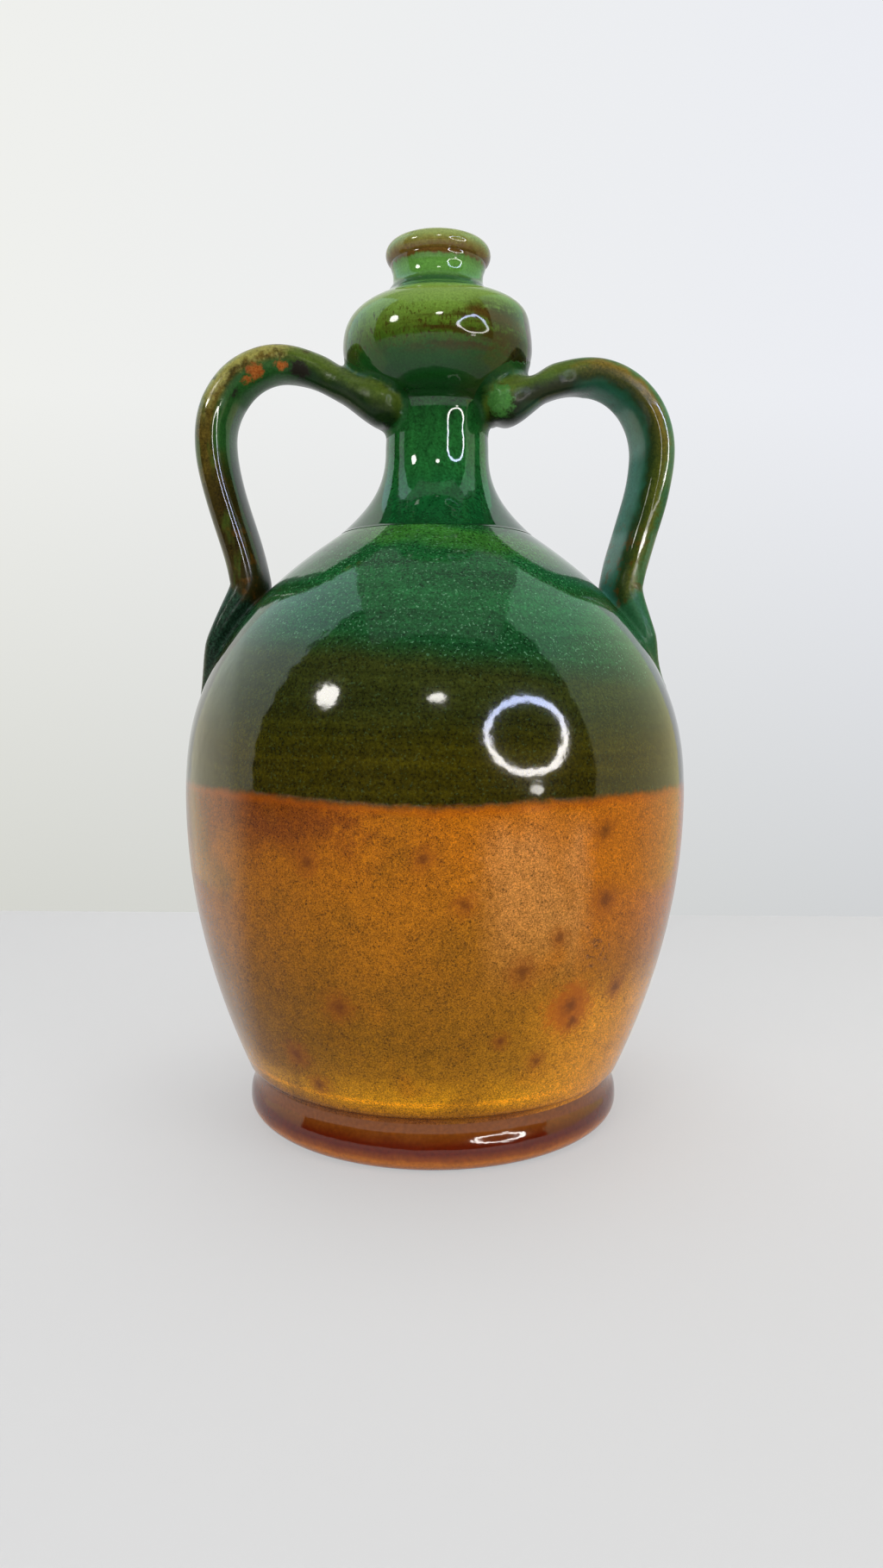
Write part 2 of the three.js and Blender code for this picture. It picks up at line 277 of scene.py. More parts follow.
def body_outline():
    outer = body_outer()
    floor = FOOT_SEAM + BODY_FLOOR
    lip = NECK_SEAM - OPENING_LIP
    wall = inset(outer, BODY_WALL)
    corner_top = floor + FLOOR_CORNER
    inner = wall[(wall[:, 1] > corner_top) & (wall[:, 1] < lip) & (wall[:, 0] > BODY_OPENING)]
    corner = point(np.interp(corner_top, wall[:, 1], wall[:, 0]) - FLOOR_CORNER, corner_top)
    return joined(
        straight(point(0, FOOT_SEAM), outer[0], 16),
        outer,
        straight(point(BODY_OPENING, NECK_SEAM), point(BODY_OPENING, lip), 4),
        inner[::-2],
        ellipse(corner, FLOOR_CORNER, FLOOR_CORNER, 0, -90, 8),
        straight(point(corner[0], floor), point(0, floor), 12),
    )


def neck_outer():
    groove = point(NECK_FOOT_RADIUS - GROOVE, NECK_SEAM)
    foot = point(NECK_FOOT_RADIUS, NECK_SEAM + GROOVE / 2)
    waist = point(NECK_RADIUS, NECK_SEAM + NECK_WAIST_RISE)
    top = point(NECK_TOP_RADIUS, KNOP_SEAM)
    return joined(
        curve(groove, 90, GROOVE, foot, 90, GROOVE / 3, 8),
        curve(foot, -NECK_FOOT_SLOPE, NECK_REACH, waist, 180, NECK_REACH, 36),
        curve(waist, 0, NECK_TOP_REACH, top, 180 + NECK_TOP_SLOPE, NECK_TOP_REACH, 20),
    )


def neck_outline():
    waist = point(NECK_BORE, NECK_SEAM + NECK_WAIST_RISE)
    foot = point(BODY_OPENING, NECK_SEAM)
    bore = curve(foot, -NECK_FOOT_SLOPE, NECK_REACH, waist, 180, NECK_REACH, 30)
    return joined(neck_outer(), straight(point(NECK_BORE, KNOP_SEAM), waist, 6), bore[::-1])


def knop_outer():
    foot = point(NECK_TOP_RADIUS, KNOP_SEAM)
    tight = KNOP_FOOT_CURVE / 3
    under = heading(foot, (NECK_TOP_SLOPE + KNOP_FOOT_SLOPE) / 2, KNOP_FOOT_CURVE)
    equator = point(KNOP_RADIUS, KNOP_SEAM + KNOP_EQUATOR_RISE)
    shelf = point(KNOP_SHELF_RADIUS, MOUTH_SEAM - KNOP_SHELF_DROP)
    top = point(COLLAR_FOOT_RADIUS, MOUTH_SEAM)
    return joined(
        curve(foot, NECK_TOP_SLOPE, tight, under, 180 + KNOP_FOOT_SLOPE, tight, 12),
        curve(under, KNOP_FOOT_SLOPE, KNOP_FOOT_REACH, equator, 180, KNOP_LOWER_REACH, 36),
        curve(equator, 0, KNOP_UPPER_REACH, shelf, 180 - KNOP_TOP_SLOPE, KNOP_TOP_REACH, 36),
        curve(shelf, -KNOP_TOP_SLOPE, KNOP_TOP_CURVE, top, 180 - COLLAR_SLOPE, KNOP_TOP_CURVE, 12),
    )


def knop_outline():
    outer = knop_outer()
    low = KNOP_SEAM + KNOP_WALL / 2
    high = MOUTH_SEAM - KNOP_WALL / 2
    inner = inset(outer, KNOP_WALL)
    inner = inner[(inner[:, 0] > NECK_BORE) & (inner[:, 1] > low) & (inner[:, 1] < high)]
    return joined(
        outer,
        straight(point(MOUTH_BORE, MOUTH_SEAM), point(MOUTH_BORE, high), 4),
        inner[::-2],
        straight(point(NECK_BORE, low), point(NECK_BORE, KNOP_SEAM), 4),
    )


def mouth_outer():
    """A waisted collar, and a lip rolled over into an oval section."""
    lip_half = (LIP_RADIUS + LIP_SPREAD - MOUTH_BORE) / 2
    lip = point(MOUTH_BORE + lip_half, RIM - LIP_HEIGHT / 2)
    crease = math.degrees(math.acos((COLLAR_RADIUS + COLLAR_FLARE - lip[0]) / lip_half))
    foot = point(COLLAR_FOOT_RADIUS, MOUTH_SEAM)
    brow = point(COLLAR_RADIUS + COLLAR_FLARE, RIM - LIP_HEIGHT)
    waist = point(COLLAR_RADIUS, (foot[1] + brow[1]) / 2)
    rise = (brow[1] - foot[1]) / 4
    return joined(
        curve(foot, -COLLAR_SLOPE, rise, waist, 180, rise, 16),
        curve(waist, 0, rise, brow, 180 + COLLAR_SLOPE / 2, rise, 12),
        ellipse(lip, lip_half, LIP_HEIGHT / 2, -crease, 180, 48),
    )


def mouth_outline():
    bore_top = point(MOUTH_BORE, RIM - LIP_HEIGHT / 2)
    return joined(mouth_outer(), straight(bore_top, point(MOUTH_BORE, MOUTH_SEAM), 8))


# Meshes


def add_mesh(name, points, faces):
    """An object of smooth faces, from points in millimetres."""
    mesh = bpy.data.meshes.new(name)
    mesh.from_pydata((np.asarray(points) * MM).tolist(), [], faces)
    mesh.polygons.foreach_set("use_smooth", np.ones(len(mesh.polygons), bool))
    mesh.set_sharp_from_angle(angle=math.radians(SHARP_ANGLE))
    mesh.update()
    piece = bpy.data.objects.new(name, mesh)
    bpy.context.scene.collection.objects.link(piece)
    return piece


def unevenness(radius, height, turn):
    """How far the potter's hands left the face out of true."""
    share = np.minimum(radius / BODY_RADIUS, 1)
    oval = OVAL * np.cos(2 * turn + OVAL_TURN)
    oval = oval + THREE_SIDED * np.cos(3 * turn + height / THREE_SIDED_CLIMB)
    ridges = np.sin(2 * np.pi * height / THROWING_PITCH + turn)
    ridges = ridges * np.sin(height / THROWING_BEAT + 2 * turn)
    right = np.clip(np.sin(turn), 0, 1)
    swell = np.exp(-(((height - KNOP_SWELL_HEIGHT) / KNOP_SWELL_REACH) ** 2))
    swell = KNOP_SWELL * swell * right**2 * (3 - 2 * right)
    swell = swell * np.clip((MOUTH_SEAM - height) / KNOP_SWELL_END, 0, 1)
    swell = swell + BELLY_SWELL * np.exp(-(((height - BELLY_SWELL_HEIGHT) / BELLY_SWELL_REACH) ** 2))
    return share * (oval + THROWING_RIDGE * ridges) + swell


def ring_faces(rows, closed):
    """Quads between neighbouring rows of TURN_STEPS points, and back to the first row if closed."""
    here = np.arange(TURN_STEPS)
    after = (here + 1) % TURN_STEPS
    faces = []
    for row in range(rows if closed else rows - 1):
        low = row * TURN_STEPS
        high = (row + 1) % rows * TURN_STEPS
        faces += np.stack([low + here, low + after, high + after, high + here], axis=1).tolist()
    return faces


def turned(name, outline, uneven=True):
    """A piece turned on the wheel. Its outline starts and ends on the axis, or closes on itself."""
    solid = outline[0][0] == 0
    rings = outline[1:-1] if solid else outline
    turn = 2 * np.pi * np.arange(TURN_STEPS) / TURN_STEPS
    radius = np.repeat(rings[:, :1], TURN_STEPS, axis=1)
    height = np.repeat(rings[:, 1:], TURN_STEPS, axis=1)
    if uneven:
        radius = radius + unevenness(radius, height, turn)
    points = np.stack([radius * np.sin(turn), -radius * np.cos(turn), height], axis=2).reshape(-1, 3)
    faces = ring_faces(len(rings), closed=not solid)
    if solid:
        first = len(points)
        last_row = (len(rings) - 1) * TURN_STEPS
        points = np.vstack([points, [0, 0, outline[0][1]], [0, 0, outline[-1][1]]])
        for step in range(TURN_STEPS):
            after = (step + 1) % TURN_STEPS
            faces.append([after, step, first])
            faces.append([last_row + step, last_row + after, first + 1])
    return add_mesh(name, points, faces)


# Handles: a field that is negative in the clay, and the mesh of its zero surface


@dataclass
class Handle:
    """One handle: how far its middle line rises, reaches out and drops, and how its end is pressed."""

    node: str
    side: int
    root_reach: float
    root_drop: float
    root_height: float
    pressed_height: float
    thickness: float
    power: float
    twist: float
    taper: float
    dip: float
    dip_travel: float
    fillet: float
    arch_rise: float
    arch_reach: float
    reach: float
    reach_drop: float
    foot_drop: float
    tail_drop: float
    tail_proud: float
    chips: tuple


# A chip has its place on the handle and its half size. The first ones, BARE_CHIPS in number, are flakes
# down to the bare clay, and the others are dark scars in the glaze.
LEFT = Handle(
    node="left_handle", side=-1, root_reach=17, root_drop=1, root_height=14.5, pressed_height=12,
    thickness=11.2, power=2.3, twist=-20, taper=-0.1, dip=0.7, dip_travel=12.5, fillet=3.2,
    arch_rise=13.6, arch_reach=49.5, reach=70.9, reach_drop=23.5,
    foot_drop=15, tail_drop=39, tail_proud=4.4,
    chips=(
        ((-58.8, -8.3, 233.4), 2.2), ((-57, -8.3, 236.4), 2.2), ((-49, -9, 238.1), 1.7),
        ((-62.5, -8, 229.3), 1.9), ((-43.3, -9, 237), 2.2),
    ),
)
RIGHT = Handle(
    node="right_handle", side=1, root_reach=22, root_drop=-0.2, root_height=15, pressed_height=11,
    thickness=10.8, power=2.9, twist=-19, taper=0.1, dip=0.7, dip_travel=9.5, fillet=5,
    arch_rise=10.4, arch_reach=47.5, reach=69.2, reach_drop=24,
    foot_drop=15, tail_drop=33, tail_proud=-0.3,
    chips=(),
)
BARE_CHIPS = 3


def pot_profile():
    """Heights, radii and the cosine of the lean of the pot's whole outer face, upwards."""
    outline = joined(body_outer(), neck_outer(), knop_outer())
    outline = outline[np.concatenate([[True], np.diff(outline[:, 1]) > 1e-6])]
    lean = np.gradient(outline[:, 0]) / np.gradient(outline[:, 1])
    return outline[:, 1], outline[:, 0], 1 / np.hypot(1, lean)


POT_HEIGHTS, POT_RADII, POT_COSINES = pot_profile()


def pot_distance(x, y, z):
    """Distance from the pot's outer face, near it."""
    level_gap = np.hypot(x, y) - np.interp(z, POT_HEIGHTS, POT_RADII)
    return level_gap * np.interp(z, POT_HEIGHTS, POT_COSINES)


def pot_point(height, proud=0.0):
    """A point on the pot's outer face at a height, or proud of it."""
    return point(np.interp(height, POT_HEIGHTS, POT_RADII) + proud, height)


def eased(value, stations, sizes):
    """Sizes at stations, joined by smooth steps."""
    last = len(stations) - 2
    stations = np.asarray(stations, float)
    sizes = np.asarray(sizes, float)
    index = np.clip(np.searchsorted(stations, value, side="right") - 1, 0, last)
    share = np.clip((value - stations[index]) / (stations[index + 1] - stations[index]), 0, 1)
    share = share * share * (3 - 2 * share)
    return sizes[index] + share * (sizes[index + 1] - sizes[index])


@dataclass
class Strap:
    """The middle line of a handle as (radius, height), and its section at each point of the line."""

    line: np.ndarray
    thickness: np.ndarray
    width: np.ndarray
    power: np.ndarray
    taper: np.ndarray
    twist: np.ndarray
    dip: np.ndarray


def handle_path(handle):
    """The middle line of a handle, and its point where the tail begins."""
    root = point(handle.root_reach, KNOP_SEAM - handle.root_drop)
    arch = point(handle.arch_reach, KNOP_SEAM + handle.arch_rise)
    outermost = point(handle.reach, arch[1] - handle.reach_drop)
    foot = pot_point(NECK_SEAM - handle.foot_drop, SHOULDER_STANDOFF)
    bend = pot_point(foot[1] - TAIL_BEND * handle.tail_drop, handle.tail_proud)
    tip = pot_point(foot[1] - handle.tail_drop)
    rise = (arch[0] - root[0]) / 3
    spread = (outermost[0] - arch[0]) * ROUND
    fall = (outermost[1] - foot[1]) / 3
    line = joined(
        curve(root, 90 - ROOT_SLOPE, rise, arch, -90, rise, HANDLE_STEPS),
        curve(arch, 90, spread, outermost, 0, handle.reach_drop * ROUND, HANDLE_STEPS),
        curve(outermost, 180, fall, foot, FOOT_LEAN, fall, HANDLE_STEPS),
        bezier(foot, heading(foot, 180 + FOOT_LEAN, handle.thickness / 2), bend, tip, HANDLE_STEPS),
    )
    return line, foot


def strap_of(handle):
    line, foot = handle_path(handle)
    travel = np.concatenate([[0], np.cumsum(np.linalg.norm(np.diff(line, axis=0), axis=1))])
    foot_travel = travel[np.argmin(np.linalg.norm(line - foot, axis=1))]
    end = travel[-1]
    lower = [foot_travel, (foot_travel + end) / 2, end]
    thick, taper, twist = handle.thickness, handle.taper, handle.twist
    thicknesses = [handle.root_height, handle.pressed_height, thick, thick]
    thicknesses += [thick * TAIL_THINNING, TAIL_TIP_THICKNESS]
    widths = [ROOT_WIDTH, HANDLE_WIDTH, HANDLE_WIDTH, TAIL_WIDTH, TAIL_TIP_WIDTH]
    dips = [handle.dip_travel * share for share in DIP_SHARES]
    turns = eased(travel, [0, ROOT_LENGTH, TWIST_END, foot_travel, end], [0, 0, twist, twist, 0])
    return Strap(
        line=line,
        thickness=eased(travel, [0, PRESSED_LENGTH, 2 * PRESSED_LENGTH] + lower, thicknesses),
        width=eased(travel, [0, ROOT_LENGTH] + lower, widths),
        power=eased(travel, [0, ROOT_LENGTH, end], [ROOT_POWER, handle.power, handle.power]),
        taper=eased(travel, [0, TAPER_START, TAPER_END, end], [ROOT_TAPER, ROOT_TAPER, taper, taper]),
        twist=np.radians(turns),
        dip=eased(travel, dips + [end], [1, 1, handle.dip, 1, 1]),
    )


def nearest(line, radius, height, chunk=4000):
    """Index of the nearest point of a line, and the distance to it, for each place."""
    places = np.stack([radius.ravel(), height.ravel()], axis=1)
    index = np.empty(len(places), int)
    gap = np.empty(len(places))
    for first in range(0, len(places), chunk):
        part = slice(first, first + chunk)
        square = ((places[part, None, :] - line[None, :, :]) ** 2).sum(axis=2)
        index[part] = square.argmin(axis=1)
        gap[part] = np.sqrt(square.min(axis=1))
    return index.reshape(radius.shape), gap.reshape(radius.shape)


def smooth_union(one, other, fillet):
    near = np.maximum(fillet - np.abs(one - other), 0) / fillet
    return np.minimum(one, other) - near * near * fillet / 4


def rounded_block(offsets, halves, power):
    """Distance, near its face, from a form between an oval and a block."""
    shares = [np.abs(offset) / half for offset, half in zip(offsets, halves)]
    whole = np.maximum(sum(share**power for share in shares), 1e-9) ** (1 / power)
    slopes = [(share / whole) ** (power - 1) / half for share, half in zip(shares, halves)]
    return (whole - 1) / np.sqrt(sum(slope**2 for slope in slopes))


def chipped(field, chips, x, y, z):
    """A field with shallow flakes taken off."""
    for place, size in chips:
        away = np.sqrt((x - place[0]) ** 2 + (y - place[1]) ** 2 + (z - place[2]) ** 2)
        field = field + CHIP_DEPTH * np.clip(CHIP_RIM - away / size, 0, 1)
    return field


def handle_field(handle, shape, x, y, z):
    """Negative in the clay of one handle, which ends just under the pot's face."""
    line = shape.line
    index, gap = nearest(line, handle.side * x + 0 * z, z + 0 * x)
    along = np.gradient(line, axis=0)
    over = along[index, 0] * (z - line[index, 1]) - along[index, 1] * (handle.side * x - line[index, 0])
    gap = np.where(over < 0, -gap, gap)
    turn = shape.twist[index]
    out = gap * np.cos(turn) - y * np.sin(turn)
    across = y * np.cos(turn) + gap * np.sin(turn)
    half_width = shape.width[index] / 2
    taper = shape.taper[index]
    inner = 1 + taper * np.clip(across / half_width, -1, 1) - np.abs(taper) / 2
    half_thickness = shape.thickness[index] / 2 * np.where(out < 0, inner, shape.dip[index])
    strap = rounded_block((out, across), (half_thickness, half_width), shape.power[index])
    strap = strap + RIPPLE * np.sin(x / 4.1 + z / 6.3) * np.sin(z / 5.2 - y / 3.7)
    strap = chipped(strap, handle.chips[:BARE_CHIPS], x, y, z)
    off_pot = pot_distance(x, y, z)
    fillet = eased(z, [NECK_SEAM, NECK_SEAM + NECK_WAIST_RISE], [SHOULDER_FILLET, handle.fillet])
    skin = smooth_union(strap, off_pot, fillet) + FEATHER
    return np.maximum(np.maximum(skin, -(off_pot + SINK)), strap - fillet)


EDGES = [
    (np.array(one), np.array(other))
    for one, other in product(product((0, 1), repeat=3), repeat=2)
    if sum(other) - sum(one) == 1 and all(b >= a for a, b in zip(one, other))
]


def mean_crossing(field, cells):
    """The middle of the places where a cell's edges cross the zero surface, within the cell."""
    total = np.zeros((len(cells), 3))
    hits = np.zeros(len(cells))
    for one, other in EDGES:
        start = field[tuple((cells + one).T)]
        end = field[tuple((cells + other).T)]
        crossed = (start < 0) != (end < 0)
        share = np.where(crossed, start / np.where(crossed, start - end, 1), 0)
        total += crossed[:, None] * (one + share[:, None] * (other - one))
        hits += crossed
    return total / hits[:, None]


def net_faces(inside, number):
    """Quads round each edge of the grid that leaves the clay, facing out of it."""
    faces = []
    for axis in range(3):
        step, side, other_side = np.roll(np.eye(3, dtype=int), -axis, axis=0)
        low = inside[tuple(slice(0, n - s) for n, s in zip(inside.shape, step))]
        high = inside[tuple(slice(s, None) for s in step)]
        edge = np.argwhere(low != high)
        corners = [edge, edge - side, edge - side - other_side, edge - other_side]
        quads = np.stack([number[tuple(corner.T)] for corner in corners], axis=1)
        entering = ~low[tuple(edge.T)]
        quads[entering] = quads[entering][:, ::-1]
        faces.append(quads)
    return np.vstack(faces)


def surface_net(field, origin, pitch):
    """Points and quads of the surface where a sampled field changes sign."""
    inside = field < 0
    size = np.array(field.shape) - 1
    count = sum(
        inside[a:a + size[0], b:b + size[1], c:c + size[2]].astype(int)
        for a, b, c in product((0, 1), repeat=3)
    )
    crossed = (count > 0) & (count < 8)
    number = np.full(crossed.shape, -1)
    number[crossed] = np.arange(crossed.sum())
    cells = np.argwhere(crossed)
    points = origin + pitch * (cells + mean_crossing(field, cells))
    return points, net_faces(inside, number)


def relaxed(points, faces):
    """Each point moved to the middle of its neighbours."""
    ends = np.vstack([faces[:, [0, 1]], faces[:, [1, 2]], faces[:, [2, 3]], faces[:, [3, 0]]])
    count = np.bincount(ends.ravel(), minlength=len(points))
    moved = np.zeros_like(points)
    for axis in range(3):
        moved[:, axis] = np.bincount(ends[:, 0], points[ends[:, 1], axis], len(points))
        moved[:, axis] += np.bincount(ends[:, 1], points[ends[:, 0], axis], len(points))
    return moved / count[:, None]


def on_surface(field, points, step=0.05, furthest=0.3, least_slope=0.2):
    """Points moved along the field's slope to where it is zero."""
    here = field(*points.T)
    slope = np.stack([(field(*(points + step * axis).T) - here) / step for axis in np.eye(3)], axis=1)
    length = np.maximum(np.linalg.norm(slope, axis=1), least_slope)
    move = np.clip(here / length, -furthest, furthest) / length
    return points - move[:, None] * slope


def add_measure(piece, name, values):
    """A number at each point of a mesh, for its material."""
    measure = piece.data.attributes.new(name, "FLOAT", "POINT")
    measure.data.foreach_set("value", values.astype(np.float32))


def add_measures(piece, handle, shape, points):
    """How far each point faces outward and forward on the strap, and how far it is off the pot."""
    index, _ = nearest(shape.line, handle.side * points[:, 0], points[:, 2])
    along = np.gradient(shape.line, axis=0)[index]
    along /= np.linalg.norm(along, axis=1)[:, None]
    offset = np.stack([handle.side * points[:, 0], points[:, 2]], axis=1) - shape.line[index]
    out = along[:, 0] * offset[:, 1] - along[:, 1] * offset[:, 0]
    add_measure(piece, "outward", np.clip(out / (shape.thickness[index] / 2), -1, 1))
    add_measure(piece, "forward", np.clip(-points[:, 1] / (shape.width[index] / 2), -1, 1))
    add_measure(piece, "off_pot", pot_distance(*points.T))


def make_handle(handle):
    shape = strap_of(handle)

    def field(x, y, z):
        return handle_field(handle, shape, x, y, z)

    low, high = [np.array(corner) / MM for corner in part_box(handle.node)]
    origin = low - GRID_MARGIN
    size = np.ceil((high + GRID_MARGIN - origin) / HANDLE_PITCH).astype(int)
    axes = [first + HANDLE_PITCH * np.arange(count) for first, count in zip(origin, size)]
    samples = field(*np.meshgrid(*axes, indexing="ij", sparse=True))
    points, faces = surface_net(samples, origin, HANDLE_PITCH)
    for _ in range(2):
        points = on_surface(field, relaxed(points, faces))
    points = on_surface(field, points)
    piece = add_mesh(handle.node + "_glazed", points, faces.tolist())
    add_measures(piece, handle, shape, points)
    return piece


# Glazes: a patch fades in between two places, and the factor after its name is its strength

GLAZE_IOR = 1.55


def put(tree, socket, value):
    """Gives an input of a node a value, a colour, or what another node puts out."""
    if isinstance(value, Field):
        value = value.socket
    if isinstance(value, bpy.types.NodeSocket):
        tree.links.new(value, socket)
    elif socket.type == "RGBA":
        socket.default_value = (*value, 1)
    else:
        socket.default_value = value


def add_node(tree, kind, *values, operation=None, **named):
    """A node with values at its inputs, in their order or by their names."""
    node = tree.nodes.new(kind)
    if operation:
        node.operation = operation
    for number, value in enumerate(values):
        put(tree, node.inputs[number], value)
    for name, value in named.items():
        put(tree, node.inputs[name.replace("_", " ")], value)
    return node


def give(material, **named):
    """Gives the shader of a material values at its named inputs."""
    shader = material.node_tree.nodes["Principled BSDF"]
    for name, value in named.items():
        put(material.node_tree, shader.inputs[name.replace("_", " ")], value)


def mixed(tree, share, one, other, kind="MIX"):
    """One colour with another over it, by a share."""
    node = tree.nodes.new("ShaderNodeMix")
    node.data_type = "RGBA"
    node.blend_type = kind
    for number, value in zip((0, 6, 7), (share, one, other)):
        put(tree, node.inputs[number], value)
    return node.outputs[2]


class Field:
    """A number or a colour that varies over a glaze."""

    def __init__(self, glaze, socket):
        self.glaze = glaze
        self.socket = socket

    def __add__(self, other):
        return self.glaze.math("ADD", self, other)

    def __mul__(self, other):
        return self.glaze.math("MULTIPLY", self, other)

    def most(self, other):
        return self.glaze.math("MAXIMUM", self, other)

    def least(self, other):
        return self.glaze.math("MINIMUM", self, other)

    def fade(self, low, high):
        """0 at low and 1 at high, with a smooth step between them."""
        node = self.glaze.add("ShaderNodeMapRange", Value=self, From_Min=low, From_Max=high)
        node.interpolation_type = "SMOOTHSTEP"
        return Field(self.glaze, node.outputs[0])

    def ramp(self, stops):
        """Colours at places of a number, from a list of (place, colour)."""
        (low, first), *others, (high, last) = stops
        share = self.glaze.add("ShaderNodeMapRange", Value=self, From_Min=low, From_Max=high)
        node = self.glaze.add("ShaderNodeValToRGB", share.outputs[0])
        elements = node.color_ramp.elements
        for place, colour in others:
            elements.new((place - low) / (high - low)).color = (*colour, 1)
        elements[0].color = (*first, 1)
        elements[-1].color = (*last, 1)
        return Field(self.glaze, node.outputs[0])

    def covered(self, share, other):
        """This colour with another over it, by a share."""
        return self.glaze.mix(share, self, other)

    def layered(self, *layers):
        """This colour with others over it, from pairs of a share and a colour."""
        colour = self
        for share, other in layers:
            colour = colour.covered(share, other)
        return colour

    def shaded(self, share):
        """This colour made darker or lighter, by a share about 0."""
        node = self.glaze.add("ShaderNodeHueSaturation", Value=share + 1.0, Color=self)
        return Field(self.glaze, node.outputs[0])


class Glaze:
    """Nodes of one glossy glaze. Places and sizes of patterns are in millimetres."""

    def __init__(self, name):
        self.material = bpy.data.materials.new(name)
        self.material.use_nodes = True
        self.tree = self.material.node_tree
        place = self.add("ShaderNodeTexCoord").outputs["Object"]
        self.place = self.add("ShaderNodeVectorMath", place, (MM, MM, MM), operation="DIVIDE").outputs[0]
        split = self.add("ShaderNodeSeparateXYZ", self.place)
        self.x, self.y, self.z = (Field(self, socket) for socket in split.outputs)

    def add(self, kind, *values, **named):
        return add_node(self.tree, kind, *values, **named)

    def math(self, operation, *values):
        return Field(self, self.add("ShaderNodeMath", *values, operation=operation).outputs[0])

    def mix(self, share, one, other):
        return Field(self, mixed(self.tree, share, one, other))

    def noise(self, size, detail=2.0, stretch=(1, 1, 1), roughness=0.5):
        """Noise about 0, mostly within -0.3 and 0.3, with features of a size."""
        sizes = [size * share for share in stretch]
        place = self.add("ShaderNodeVectorMath", self.place, sizes, operation="DIVIDE").outputs[0]
        texture = self.add(
            "ShaderNodeTexNoise", Vector=place, Scale=1.0, Detail=detail, Roughness=roughness,
        )
        return Field(self, texture.outputs["Fac"]) + -0.5

    def measure(self, name):
        """A number stored at the points of the mesh."""
        node = self.add("ShaderNodeAttribute")
        node.attribute_name = name
        return Field(self, node.outputs["Fac"])

    def spots(self, places, core, edge):
        """1 within a core round each place and 0 past a frayed edge, by each place's size."""
        fray = self.noise(1.6) + self.noise(0.5) * 0.6
        cover = None
        for place, size in places:
            node = self.add("ShaderNodeVectorMath", self.place, place, operation="DISTANCE")
            away = Field(self, node.outputs["Value"])
            spot = (away + fray * (edge * size)).fade(edge * size, core * size)
            cover = spot if cover is None else cover.most(spot)
        return cover

    def finish(self, colour, roughness, relief, gloss=0.5):
        """Joins the colour, the roughness, the gloss and the relief, which is in millimetres."""
        bump = self.add("ShaderNodeBump", Height=relief * MM, Distance=1.0)
        give(
            self.material, Base_Color=colour, Roughness=roughness, IOR=GLAZE_IOR,
            Specular_IOR_Level=gloss, Normal=bump.outputs[0],
        )
        return self.material


def orange_peel(glaze, depth):
    """The soft dimples of a fired glaze, with finer pinholes."""
    return glaze.noise(3.2, detail=1) * depth + glaze.noise(0.7) * (depth * 0.12)


def on_body(turn, height):
    """A place on the body, at a turn in degrees from the front to the right."""
    radius = pot_point(height)[0]
    angle = math.radians(turn)
    return (radius * math.sin(angle), -radius * math.cos(angle), height)


# Iron spots in the amber glaze: turn from the front, height and relative size
IRON_SPOTS = [
    (35.5, 100.3, 1.0), (-1.8, 94.4, 0.8), (-24.7, 92, 0.9), (5.9, 82.1, 0.8), (36.8, 80.7, 1.2),
    (26.1, 71.5, 0.7), (18.4, 62.3, 1.1), (45.4, 52.9, 1.0), (31.6, 50.4, 1.3), (33.1, 45.2, 0.9),
    (-20, 52, 1.1), (-34.5, 34, 1.1), (-29.8, 25, 0.9), (15.3, 42.1, 0.6), (25.3, 34.4, 0.7),
    (88, 75, 1.1), (112, 92, 0.8), (131, 48, 1.2), (158, 66, 0.9), (182, 30, 1.0), (203, 84, 1.2),
    (228, 58, 0.8), (247, 96, 1.0), (266, 38, 1.1), (-75, 70, 0.9),
]
HALO_SPOT = (31.6, 49.5)
PITTED_PATCH = (36.3, 66)

# The edge of the green over the amber: its height at the sides, its sag in front and the sag's half
# width in millimetres, and how steeply the colours above it tilt to the right
AMBER_LINE = 109.9
AMBER_SAG = 2.4
AMBER_SAG_WIDTH = 30
GREEN_TILT = 0.11

# Colours of the body by height: amber over the foot ring, then olive and green
# The dark stop at 17.1 is painted shade under the body's bottom edge, in the crease over the foot ring
AMBERS = [
    (14.6, (0.20, 0.058, 0.008)), (16.4, (0.20, 0.060, 0.006)), (17.1, (0.11, 0.034, 0.002)),
    (17.7, (0.26, 0.09, 0.003)), (18.8, (0.38, 0.145, 0.002)), (20.8, (0.49, 0.205, 0.002)),
    (21.5, (0.75, 0.30, 0.002)), (22.2, (0.75, 0.30, 0.002)), (23.0, (0.53, 0.230, 0.002)),
    (27, (0.42, 0.18, 0.002)), (31, (0.29, 0.12, 0.002)), (40, (0.225, 0.090, 0.001)),
    (56, (0.25, 0.094, 0.002)), (74, (0.325, 0.111, 0.002)), (92, (0.37, 0.116, 0.001)),
    (110, (0.365, 0.104, 0.001)),
]
# The bright band from 181.5 to 185 is a painted highlight on the shoulder's rim just under the neck
# groove
BODY_GREENS = [
    (106, (0.028, 0.022, 0.001)), (112, (0.036, 0.029, 0.001)), (119, (0.038, 0.031, 0.001)),
    (126, (0.029, 0.027, 0.001)), (133, (0.024, 0.028, 0.003)), (143, (0.026, 0.033, 0.005)),
    (147, (0.014, 0.040, 0.009)), (151, (0.008, 0.056, 0.015)), (166, (0.010, 0.086, 0.022)),
    (178, (0.009, 0.080, 0.020)), (181.5, (0.030, 0.138, 0.020)), (185, (0.030, 0.138, 0.018)),
    (187.5, (0.010, 0.085, 0.017)),
]


def iron_spots(glaze, colour):
    """Dark spots with red-brown halos, one of them in a wide bright halo."""
    spots = [(on_body(turn, height), size) for turn, height, size in IRON_SPOTS]
    halo = glaze.spots([(on_body(*HALO_SPOT), 1.0)], 4, 11)
    return colour.layered(
        (halo * 0.8, (0.50, 0.12, 0.002)),
        (glaze.spots(spots, 0.8, 7.0) * 0.6, (0.25, 0.060, 0.002)),
        (glaze.spots(spots, 0.2, 2.8) * 0.62, (0.10, 0.026, 0.002)),
    )


